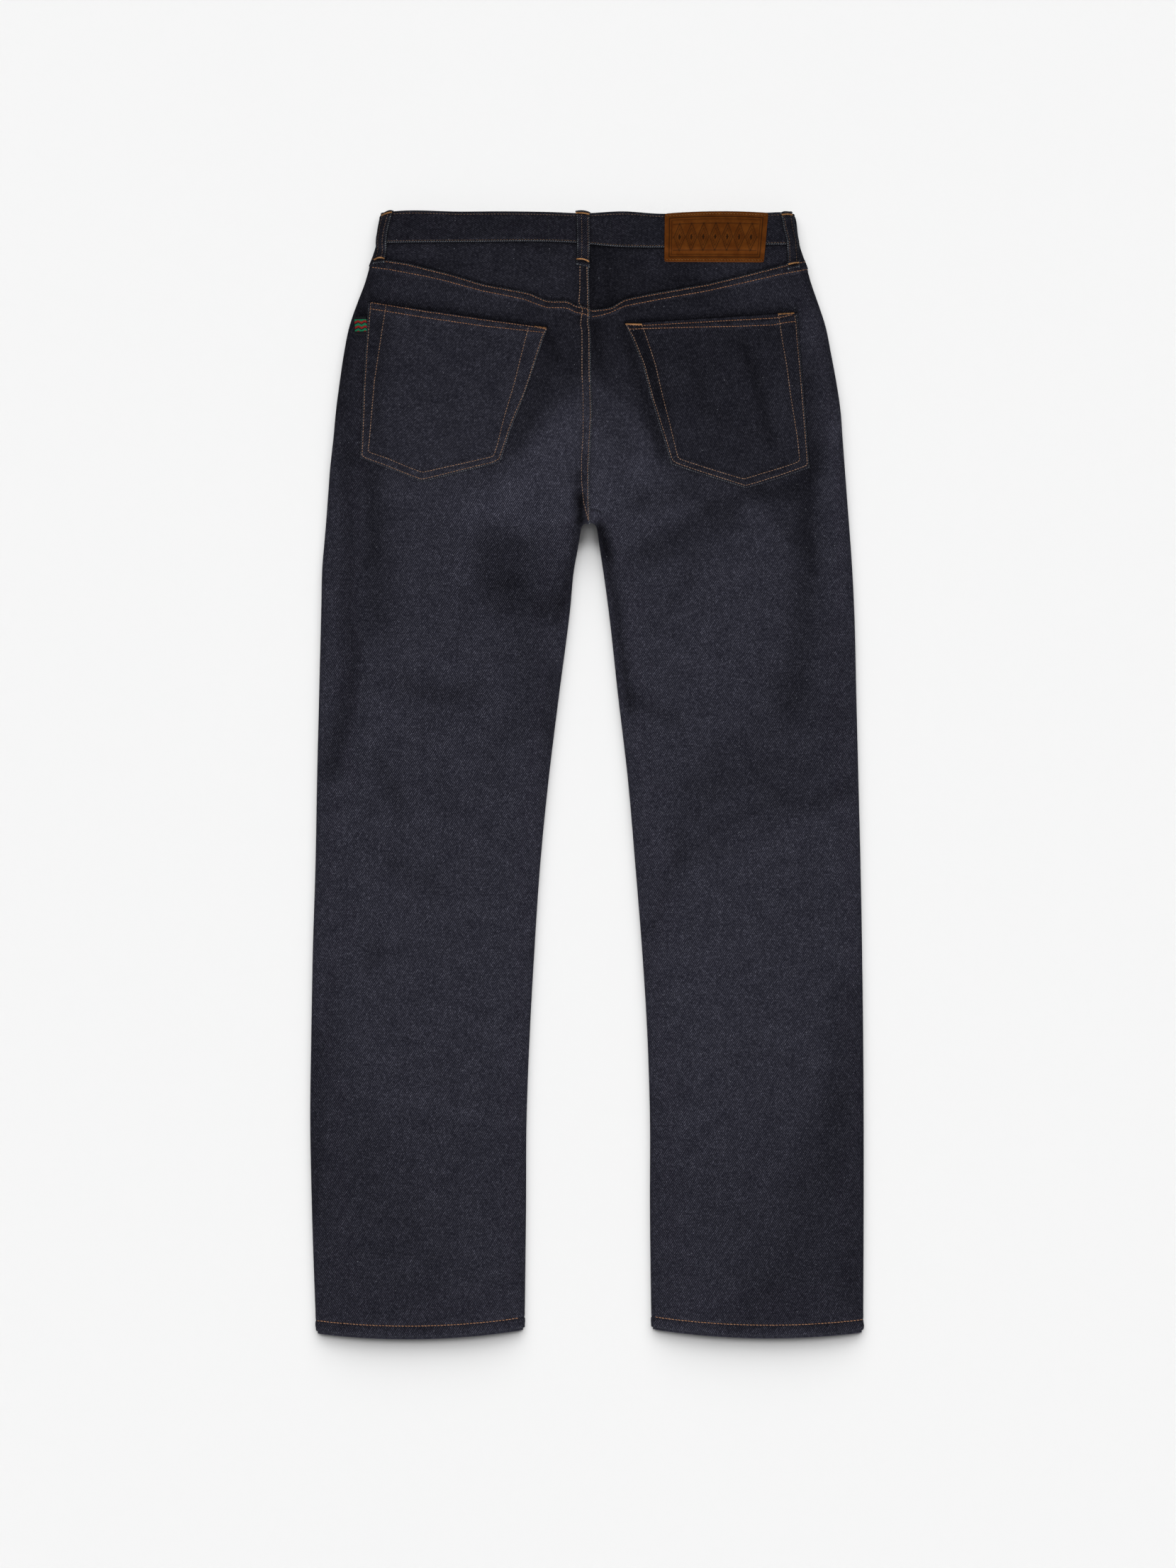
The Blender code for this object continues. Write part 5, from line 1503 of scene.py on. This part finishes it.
def hemTurn(side):
    foot = outline["hemCorners"][side][0]
    rows = []
    for up in (0.3, 1.0, 3.0, 6.0, 9.0, 11.5, 12.7):
        y = foot + up
        edge = np.array([float(gapEdge[side](y)), y])
        into = np.array([float(side), 0.0])
        top = legPoints(side, edge, into, 1.0)
        flat = frontLegRow(side, edge, into, 1.0, np.linspace(0.03, 0.97, 16), 0.0)
        rows.append(np.concatenate([top, flat[::-1]]))
    cloth = np.concatenate([np.stack([alongRow(r), r[:, 1], np.full(len(r), 0.3)], 1) for r in rows])
    return clothPiece(f"hemTurn{word[side]}", rows, -2.7, -1.45, denim, cloth, None, 0.9,
                      flip=side == right, closed=True, show=False)


# radius and height of each ring, from the back to the face that looks down
buttonShape = dict(turns=64, belowEdge=15.0, profile=(
    (0.01, 2.0), (4.0, 2.0), (7.6, 1.95), (8.3, 1.6), (8.5, 1.2), (8.5, 0.8), (8.3, 0.35), (7.9, 0.08),
    (7.3, 0.0), (6.7, 0.06), (6.3, 0.35), (6.0, 0.5), (4.6, 0.52), (4.3, 0.36), (3.9, 0.30), (3.5, 0.36),
    (3.2, 0.5), (1.2, 0.55), (0.01, 0.55)))


def latheButton():
    y, turns = float(bandTopAt(0.0, True)) - buttonShape["belowEdge"], buttonShape["turns"]
    angle = np.arange(turns) * 2 * math.pi / turns
    rows = [np.stack([r * np.cos(angle), y + r * np.sin(angle), np.full(turns, z)], 1)
            for r, z in buttonShape["profile"]]
    verts, quads = sheetFrom(rows, closed=True)
    return makePiece("waistButtonTurned", verts, quads[:, ::-1], buttonMetal)


for side in (left, right):
    frontPanel(side)
    pocketFacing(side)
    hemTurn(side)
latheButton()
print("front, hems and button")


# Thread: each stitch is a short plump capsule, sunk at both ends into the cloth it holds

threadLook = dict(
    hem=dict(pitch=3.1, length=2.75, width=0.9, bright=(0.75, 1.25)),
    yoke=dict(pitch=2.7, length=2.3, width=0.82, bright=(0.3, 0.75)),
    seat=dict(pitch=2.7, length=2.25, width=0.84, bright=(0.5, 1.05)),
    pocket=dict(pitch=2.7, length=2.25, width=0.8, bright=(0.3, 0.9)),
    pocketTop=dict(pitch=2.7, length=2.3, width=0.84, bright=(0.3, 0.75)),
    bandTop=dict(pitch=2.9, length=2.3, width=0.75, bright=(0.6, 1.3)),
    bandLow=dict(pitch=2.9, length=2.1, width=0.7, bright=(0.6, 1.25)),
    loop=dict(pitch=2.8, length=2.2, width=0.7, bright=(0.7, 1.4)),
    patch=dict(pitch=2.9, length=2.1, width=0.75, bright=(0.7, 1.5)),
    label=dict(pitch=2.3, length=1.3, width=0.36, bright=(0.3, 1.0)),
)
# A stitch leans off its row with the thread's twist. One whose ends differ more in height isn't laid
stitchLook = dict(lean=0.13, sidePart=190.0, sideDrop=3.4, flatDrop=1.6)


def layerOf(names):
    verts, faces, start = [], [], 0
    for name in names:
        points, quads = skins[name]
        verts.append(points)
        faces.append(quads + start)
        start += len(points)
    return BVHTree.FromPolygons(np.concatenate(verts).tolist(), np.concatenate(faces).tolist())


def dropOn(layer, xy, facing=1):
    hits, normals = [], []
    for x, y in xy:
        hit = layer.ray_cast(Vector((x, y, 90.0 * facing)), Vector((0, 0, -facing)))
        if hit[0] is None:
            hits.append((np.nan,) * 3)
            normals.append((0.0, 0.0, facing))
        else:
            n = hit[1] if hit[1].z * facing > 0 else -hit[1]
            hits.append(tuple(hit[0]))
            normals.append(tuple(n))
    return np.array(hits), np.array(normals)


def stitchEnds(line, look, seed, phase=0.0):
    line = np.array(line, float)
    run = alongRow(line)
    rng = np.random.default_rng(seed)
    starts = np.arange(phase * look["pitch"], run[-1] - look["length"] * 0.6, look["pitch"])
    starts = starts + rng.uniform(-0.14, 0.14, len(starts))
    lengths = look["length"] * rng.uniform(0.9, 1.08, len(starts))
    sway = rng.uniform(-0.10, 0.10, (len(starts), 2, 1))
    a, b = (np.stack([np.interp(reached, run, line[:, k]) for k in (0, 1)], 1)
            for reached in (np.clip(starts, 0, run[-1]), np.clip(starts + lengths, 0, run[-1])))
    t = (b - a) / np.maximum(np.linalg.norm(b - a, axis=1, keepdims=True), 1e-9)
    n = np.stack([-t[:, 1], t[:, 0]], 1)
    return a + n * (sway[:, 0] + stitchLook["lean"]), b + n * (sway[:, 1] - stitchLook["lean"])


def capsules(a, b, normals, widths, bright, lift=0.12, sink=0.34, thick=0.82):
    rings, sides = (-0.5, -0.37, 0.0, 0.37, 0.5), 6
    size, level = (0.30, 0.86, 1.0, 0.86, 0.30), (-sink, 0.01, lift, 0.01, -sink)
    axis = b - a
    length = np.linalg.norm(axis, axis=1, keepdims=True)
    axis = axis / np.maximum(length, 1e-9)
    side = np.cross(normals, axis)
    side /= np.maximum(np.linalg.norm(side, axis=1, keepdims=True), 1e-9)
    up = np.cross(axis, side)
    verts, strand = [], []
    for s, r, h in zip(rings, size, level):
        centre = (a + b) / 2 + axis * length * s + up * h
        for k in range(sides):
            turn = 2 * math.pi * k / sides
            offset = side * (math.cos(turn) * r) + up * (math.sin(turn) * r * thick)
            verts.append(centre + offset * widths[:, None] / 2)
            strand.append(np.stack([(s + 0.5) * length[:, 0], np.full(len(a), k / sides), bright], 1))
    verts, strand = np.stack(verts, 1), np.stack(strand, 1)
    faces = []
    for i in range(len(rings) - 1):
        for k in range(sides):
            m = (k + 1) % sides
            faces.append((i * sides + k, i * sides + m, (i + 1) * sides + m, (i + 1) * sides + k))
    end = (len(rings) - 1) * sides
    faces += [(0, 3, 2, 1), (0, 5, 4, 3), (end, end + 1, end + 2, end + 3), (end, end + 3, end + 4, end + 5)]
    count = len(rings) * sides
    quads = np.array(faces)[None] + (np.arange(len(a)) * count)[:, None, None]
    return verts.reshape(-1, 3), quads.reshape(-1, 4), strand.reshape(-1, 3)


class Sewing:
    # gathers the stitches of one thread piece
    def __init__(self, name, kind, layer, facing=1, seed=1):
        self.name, self.kind, self.layer, self.facing = name, kind, layer, facing
        self.rng, self.parts = np.random.default_rng(seed), []

    def lay(self, a, b, width, bright, lift=0.12, sink=0.34):
        pa, na = dropOn(self.layer, a, self.facing)
        pb, nb = dropOn(self.layer, b, self.facing)
        keep = ~(np.isnan(pa).any(1) | np.isnan(pb).any(1))
        atSide = abs(a[:, 0]) > stitchLook["sidePart"]
        keep &= abs(pa[:, 2] - pb[:, 2]) < np.where(atSide, stitchLook["sideDrop"], stitchLook["flatDrop"])
        normal = (na + nb)[keep]
        normal /= np.maximum(np.linalg.norm(normal, axis=1, keepdims=True), 1e-9)
        n = int(keep.sum())
        widths = width * self.rng.uniform(0.92, 1.1, n)
        shade = self.rng.uniform(*bright, n)
        self.parts.append(capsules(pa[keep], pb[keep], normal, widths, shade, lift, sink))

    def row(self, line, look, seed, phase=0.0):
        a, b = stitchEnds(line, look, seed, phase)
        self.lay(a, b, look["width"], look["bright"])

    def tack(self, start, end, width=1.5, pitch=0.5, bright=(0.5, 1.1), lift=0.34, bow=0.0):
        start, end = np.array(start, float), np.array(end, float)
        t = (end - start) / np.linalg.norm(end - start)
        n = np.array([-t[1], t[0]])
        count = max(int(np.linalg.norm(end - start) / pitch), 4)
        s = np.linspace(0, 1, count)[:, None]
        wide = width / 2 * self.rng.uniform(0.85, 1.1, (count, 1))
        slant = 0.22 * np.where(np.arange(count) % 2, 1, -1)[:, None]
        middle = start + (end - start) * s + n * bow * np.sin(math.pi * s)
        self.lay(middle - n * wide - t * slant, middle + n * wide + t * slant, 0.56, bright, lift, 0.2)
        for off in (-0.38, 0.0, 0.38):
            step = np.linspace(0, 1, 5)
            path = start + (end - start) * step[:, None] + n * bow * np.sin(math.pi * step)[:, None]
            a, b = path[:-1], path[1:]
            self.lay(a + n * off, b + n * off, 0.5, (bright[0] * 0.6, bright[1] * 0.7), 0.1, 0.1)

    def finish(self):
        verts, quads, strand, start = [], [], [], 0
        for v, q, s in self.parts:
            verts.append(v)
            quads.append(q + start)
            strand.append(s)
            start += len(v)
        points = np.concatenate(verts)
        points[:, 2] = np.maximum(points[:, 2], 0.0)
        return makePiece(self.name, points, np.concatenate(quads), threads[self.kind],
                         dict(strand=np.concatenate(strand)))


def lineOn(xs, rule):
    xs = np.asarray(xs, float)
    return [(x, float(y)) for x, y in zip(xs, rule(xs))]


def sew(name, kind, layer, seed, rows, facing=1):
    # a row is its line, look and seed, and may end with a phase
    sewn = Sewing(name, kind, layer, facing, seed)
    for row in rows:
        sewn.row(*row)
    return sewn.finish()


def hemStitchLine(side):
    foot, shares, rise = outline["hemCorners"][side][0], np.linspace(0.003, 0.997, 60), hemLook["row"]
    x = mix(float(sideEdge[side](foot)), float(gapEdge[side](foot)), shares)
    return list(zip(x, foot + rise + float(hemShares(rise)) * (hemLine(side, shares, False) - foot)))


def seatStitchRows():
    # the lower part of the seam lies deeper: its thread is thinner, and darkened with painted shade
    look, rows = threadLook["seat"], []
    for k, rule in enumerate((leftRowX, rightRowX)):
        for high, low, share in ((500.0, 372.0, 1.0), (371.0, 238.6, 0.72 - 0.2 * k)):
            shadedRowLook = dict(look, width=look["width"] * (1 if share == 1 else 0.75),
                          bright=tuple(share * b for b in look["bright"]))
            rows.append(([(float(rule(y)), y) for y in np.linspace(high, low, 90)], shadedRowLook, 17 + k, 0.3 * k))
    return rows


def sewBack():
    backs = layerOf(["backPanelLeft", "backPanelRight", "yokeBackLeft", "yokeBackRight"])
    look = threadLook
    sew("threadHems", "orange", backs, 3, [(hemStitchLine(side), look["hem"], 5 + side) for side in word])
    sew("threadYokeSeams", "orange", backs, 7, [
        (lineOn(np.linspace(-210, 212, 240), rule), look["yoke"], 11 + k)
        for k, rule in enumerate((upperRowY, lowerRowY))])
    sew("threadSeatSeam", "beige", backs, 13, seatStitchRows())
    crossing = Sewing("threadSeamCrossing", "tack", backs, seed=19)
    for y0, y1 in ((446.5, 443.2), (442.6, 439.6), (438.6, 436.2)):
        for rule in (leftRowX, rightRowX):
            a, b = np.array([[float(rule(y0)), y0]]), np.array([[float(rule(y1)), y1]])
            crossing.lay(a, b, 0.72, (0.35, 0.75), 0.2)
    crossing.finish()
    for side in (left, right):
        layer, rows = layerOf([f"backPocketCloth{word[side]}"]), pocketRows[side]
        sew(f"threadPocket{word[side]}", "beige", layer, 23 + side, [
            (rows["outer"], look["pocket"], 29 + side), (rows["inner"], look["pocket"], 31 + side)])
        sew(f"threadPocketTop{word[side]}", "orange", layer, 37 + side, [
            (rows["topOne"], look["pocketTop"], 41 + side), (rows["topTwo"], look["pocketTop"], 43 + side)])
        tacks = Sewing(f"threadPocketTacks{word[side]}", "tack", layer, seed=47 + side)
        for start, end in rows["tacks"]:
            tacks.tack(start, end)
        tacks.finish()


def bandRows(xs, topLine, lowLine, seed):
    look = threadLook
    return [(lineOn(xs, lambda x: topLine(x) - bandLook["topRow"]), look["bandTop"], seed),
            (lineOn(xs, lambda x: lowLine(x) + bandLook["lowRow"]), look["bandLow"], seed + 2)]


def patchStitchRows():
    look, shares, rows = patchLook, np.linspace(0, 1, 40), []
    for end, inset, bow in (("Top", -2.0, look["bow"]), ("Low", 2.2, 0.0)):
        a, b = look["left" + end], look["right" + end]
        y = mix(a[1], b[1], shares) + inset + 4 * bow * shares * (1 - shares)
        rows.append((list(zip(mix(a[0] + 1.5, b[0] - 1.5, shares), y)), threadLook["patch"], 71))
    return rows


def sewLoop(side, ending):
    look, points = loopLook, skins[f"beltLoop{ending}"][0]
    layer = layerOf([f"beltLoop{ending}"])
    top, foot = points[:, 1].max(), points[:, 1].min()
    grid = points.reshape(-1, len(look["across"]), 3)
    rows = []
    for column in look["stitched"][side]:
        line = grid[:, column, :2]
        line = line[(line[:, 1] > foot + 6) & (line[:, 1] < top - 3.5)]
        rows.append((line[::-1], threadLook["loop"], 79 + side + column))
    sew(f"threadLoop{ending}", "brown", layer, 73 + side, rows)
    tacks = Sewing(f"threadTack{ending}", "tack", layer, seed=83 + side)
    middle = grid[:, 10, 1]
    heights = (middle.min() + look["lowTack"][side], middle.max() - look["topTack"][side])
    for height, bow in zip(heights, (look["footBow"][side], 0.5)):
        row = grid[np.argmin(abs(middle - height))]
        ends = (row[2, :2], row[-3, :2])
        if side:
            ends = (row[3, :2], row[15, :2] - (side * 0.6, 0))[::-side]
        tacks.tack(*ends, width=1.8, bow=bow)
    tacks.finish()


def sewBand():
    band = layerOf(["waistbandCloth"])
    sew("threadWaistband", "brown", band, 53, bandRows(np.linspace(-193, 193, 200), bandTop, bandLow, 59))
    sew("threadLabelRows", "grey", band, 61, [
        ([(x, top), (x + 0.8, float(bandLow(x)) + 5.0)], threadLook["label"], 63)
        for x, top in ((-37.1, 531.0), (22.3, 530.0))])
    sew("threadPatch", "patch", layerOf(["backPatch"]), 67, patchStitchRows())
    for side, ending in ((0, "Centre"), (left, "BackLeft"), (right, "BackRight")):
        sewLoop(side, ending)


sewBack()
sewBand()
print("thread on the back", {n: len(o.data.polygons) for n, o in pieces.items() if n.startswith("thread")})


frontSewn = dict(
    outseam=11.5, inseam=13.5, hemHeights=(12.7, 15.2), scoop=(2.0, 8.0), seat=(3.0, 9.0), fly=(0.0, 6.0),
    flyX=-38.0, flyTop=468, flyLow=372, flyTurn=(34, 38, 1.35), besideButton=((-176, 10), (26, 176)),
)


def scoopStitchLine(side, inset):
    line = []
    for degrees in range(2, 89, 3):
        (x, y), turn = scoopPoint(side, degrees), math.radians(degrees)
        line.append((x - side * inset * math.cos(turn), y - inset * math.sin(turn)))
    return line


def sewFront():
    look, shape, rows = threadLook, frontSewn, []
    for side in (left, right):
        foot = outline["hemCorners"][side][0]
        outer = float(sideEdge[side](foot)) - side * shape["outseam"]
        inner = float(gapEdge[side](foot)) + side * shape["inseam"]
        hem = [(x, foot + up) for x, up in zip((outer, inner), shape["hemHeights"])]
        rows.append((hem, look["hem"], 91 + side))
        rows += [(scoopStitchLine(side, inset), look["yoke"], 95 + side) for inset in shape["scoop"]]
    for off in shape["seat"]:
        rows.append(([(float(centreLine(y)) - off, y) for y in np.linspace(330, 262, 12)], look["seat"], 99))
    wide, deep, turned = shape["flyTurn"]
    fly = [(shape["flyX"], y) for y in np.linspace(shape["flyTop"], shape["flyLow"], 8)]
    fly += [(shape["flyX"] + wide * (1 - math.cos(a)), shape["flyLow"] - deep * math.sin(a))
            for a in np.linspace(0, turned, 12)]
    rows += [([(x - grow, y - grow * 0.4) for x, y in fly], look["yoke"], 101) for grow in shape["fly"]]
    under = layerOf(["frontPanelClothLeft", "frontPanelClothRight"])
    sew("threadFront", "orange", under, 89, rows, facing=-1)
    lines = (lambda x: bandTopAt(x, True), lambda x: bandLowAt(x, True))
    rows = [row for ends in shape["besideButton"] for row in bandRows(np.linspace(*ends, 80), *lines, 107)]
    sew("threadWaistbandFront", "brown", layerOf(["waistbandCloth"]), 103, rows, facing=-1)


sewFront()
print("thread on the front")


# Every piece hangs from the root body, and the solids that the pieces replace are hidden

# Each sheet of cloth: the solid it replaces, flat size in millimetres and area in square metres
cuts = {}
for name, solid, flat, area in (
        ("backPanel", "back_panel", (300, 1020), 0.262), ("yokeBack", "yoke", (235, 62), 0.0110),
        ("frontPanelCloth", "front_panel", (245, 1010), 0.19),
        ("pocketFacingCloth", "pocket_facing", (110, 90), 0.0068), ("hemTurn", "hem", (420, 12.7), None)):
    for ending in word.values():
        cuts[name + ending] = (f"{solid}_{ending.lower()}", flat, area)
cuts["waistbandCloth"] = ("waistband", (840, 30), None)
cuts["backPocketClothLeft"] = ("back_pocket_left", (180, 172), 0.0240)
cuts["backPocketClothRight"] = ("back_pocket_right", (172, 167), 0.0232)
for ending, place in (("Centre", "back_centre"), ("BackLeft", "back_left"), ("BackRight", "back_right"),
                      ("FrontLeft", "front_left"), ("FrontRight", "front_right")):
    cuts["beltLoop" + ending] = ("loop_" + place, (13, 60), None)
cuts["backPatch"] = ("leather_patch", (98, 46.5), None)
cuts["pocketTab"] = ("side_tab", (11.2, 17.4), None)
goingWith = {
    "backPanelLeft": ["Hems", "YokeSeams", "SeatSeam", "SeamCrossing"], "frontPanelClothLeft": ["Front"],
    "waistbandCloth": ["Waistband", "WaistbandFront", "LabelRows"], "backPatch": ["Patch"],
    "backPocketClothLeft": ["PocketLeft", "PocketTopLeft", "PocketTacksLeft"],
    "backPocketClothRight": ["PocketRight", "PocketTopRight", "PocketTacksRight"],
    "beltLoopCentre": ["LoopCentre", "TackCentre"], "beltLoopBackLeft": ["LoopBackLeft", "TackBackLeft"],
    "beltLoopBackRight": ["LoopBackRight", "TackBackRight"],
}
slots = {"backPatch": "leather", "pocketTab": "woven_tab", "waistButtonTurned": "antique_metal"}
for name, obj in pieces.items():
    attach(obj, "root")
    slots.get(name, "thread" if name.startswith("thread") else "denim")
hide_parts("waist_button")
for name, (solid, flat, area) in cuts.items():
    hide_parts(solid)
    tuple(length * mm for length in flat)
    [pieces["thread" + thread] for thread in goingWith.get(name, [])]
print("pieces placed", sum(len(o.data.polygons) for o in pieces.values()) * 2, "triangles")


# Floor, light and camera

studio = dict(
    floor=(0.90, 0.90, 0.90), floorSize=12, floorLevel=-0.0004, world=0.12, worldColour=(1.0, 1.0, 1.0),
    overhead=dict(towards=(0.0, -0.14, -1.0), spread=20.0, power=0.86),
    slanting=dict(towards=(0.0, -0.86, -1.0), spread=76.0, power=2.66),
    fill=dict(towards=(0.0, 0.0, -1.0), spread=120.0, power=1.2),
    key=dict(towards=(0.0, 1.0, -0.45), spread=30.0, power=3.8),
    # Keeps light off the paper at the top of the gap between the thighs
    flag=dict(z=40.0, outline=((-18, 214), (2, 226), (22, 214), (22, 296), (-18, 296))),
    camera=dict(distance=24.0, centre=(0.0010, -0.00945), frameHeight=1.4931, plane=0.008,
                sensor=36.0, far=50),
)


def buildPaper(level):
    material, tree, shader = newMaterial("floorPaper", 0.9, 0.0)
    faint = noiseOn(tree, addNode(tree, "TexCoord").outputs["Object"], 3.0, 2.0)
    shade = mixColour(tree, faint, tuple(0.996 * c for c in level), level)
    tree.links.new(shade, shader.inputs["Base Color"])
    return material


def addFloor():
    bpy.ops.mesh.primitive_plane_add(size=studio["floorSize"], location=(0, 0, studio["floorLevel"]))
    floor = bpy.context.object
    floor.name = "studioFloor"
    floor.data.materials.append(buildPaper(studio["floor"]))
    return floor


def addFlag():
    look = studio["flag"]
    corners = [(x * mm, y * mm, look["z"] * mm) for x, y in look["outline"]]
    mesh = bpy.data.meshes.new("lightFlag")
    mesh.from_pydata(corners, [], [tuple(range(len(corners)))])
    flag = bpy.data.objects.new("lightFlag", mesh)
    flag.data.materials.append(floor.data.materials[0])
    bpy.context.scene.collection.objects.link(flag)
    flag.visible_camera = flag.visible_diffuse = flag.visible_glossy = False
    return flag


def addLight(name, towards, spread, power, receivers, blockers):
    light = bpy.data.objects.new(name, bpy.data.lights.new(name, "SUN"))
    light.data.angle, light.data.energy = math.radians(spread), power
    light.rotation_euler = Vector(towards).to_track_quat("-Z", "Y").to_euler()
    bpy.context.scene.collection.objects.link(light)
    lit, shading = (bpy.data.collections.new(name + ending) for ending in ("Receivers", "Blockers"))
    for group, members in ((lit, receivers), (shading, blockers)):
        for obj in members:
            group.objects.link(obj)
    light.light_linking.receiver_collection = lit
    light.light_linking.blocker_collection = shading


def addCamera():
    look = studio["camera"]
    camera = bpy.data.objects.new("viewFromAbove", bpy.data.cameras.new("viewFromAbove"))
    camera.data.sensor_fit, camera.data.sensor_height = "VERTICAL", look["sensor"]
    camera.data.lens = look["sensor"] * look["distance"] / look["frameHeight"]
    camera.data.clip_end = look["far"]
    camera.location = (*look["centre"], look["distance"] + look["plane"])
    bpy.context.scene.collection.objects.link(camera)
    bpy.context.scene.camera = camera


floor = addFloor()
flag, cloths = addFlag(), list(pieces.values())
for name in ("overhead", "slanting"):
    addLight(name, **studio[name], receivers=[floor], blockers=cloths + [flag])
for name in ("fill", "key"):
    addLight(name, **studio[name], receivers=cloths, blockers=cloths)
world = bpy.data.worlds.new("studioLight")
world.use_nodes = True
world.node_tree.nodes["Background"].inputs[0].default_value = (*studio["worldColour"], 1.0)
world.node_tree.nodes["Background"].inputs[1].default_value = studio["world"]
bpy.context.scene.world = world
bpy.context.scene.view_settings.view_transform = "Standard"
addCamera()
print("studio ready")
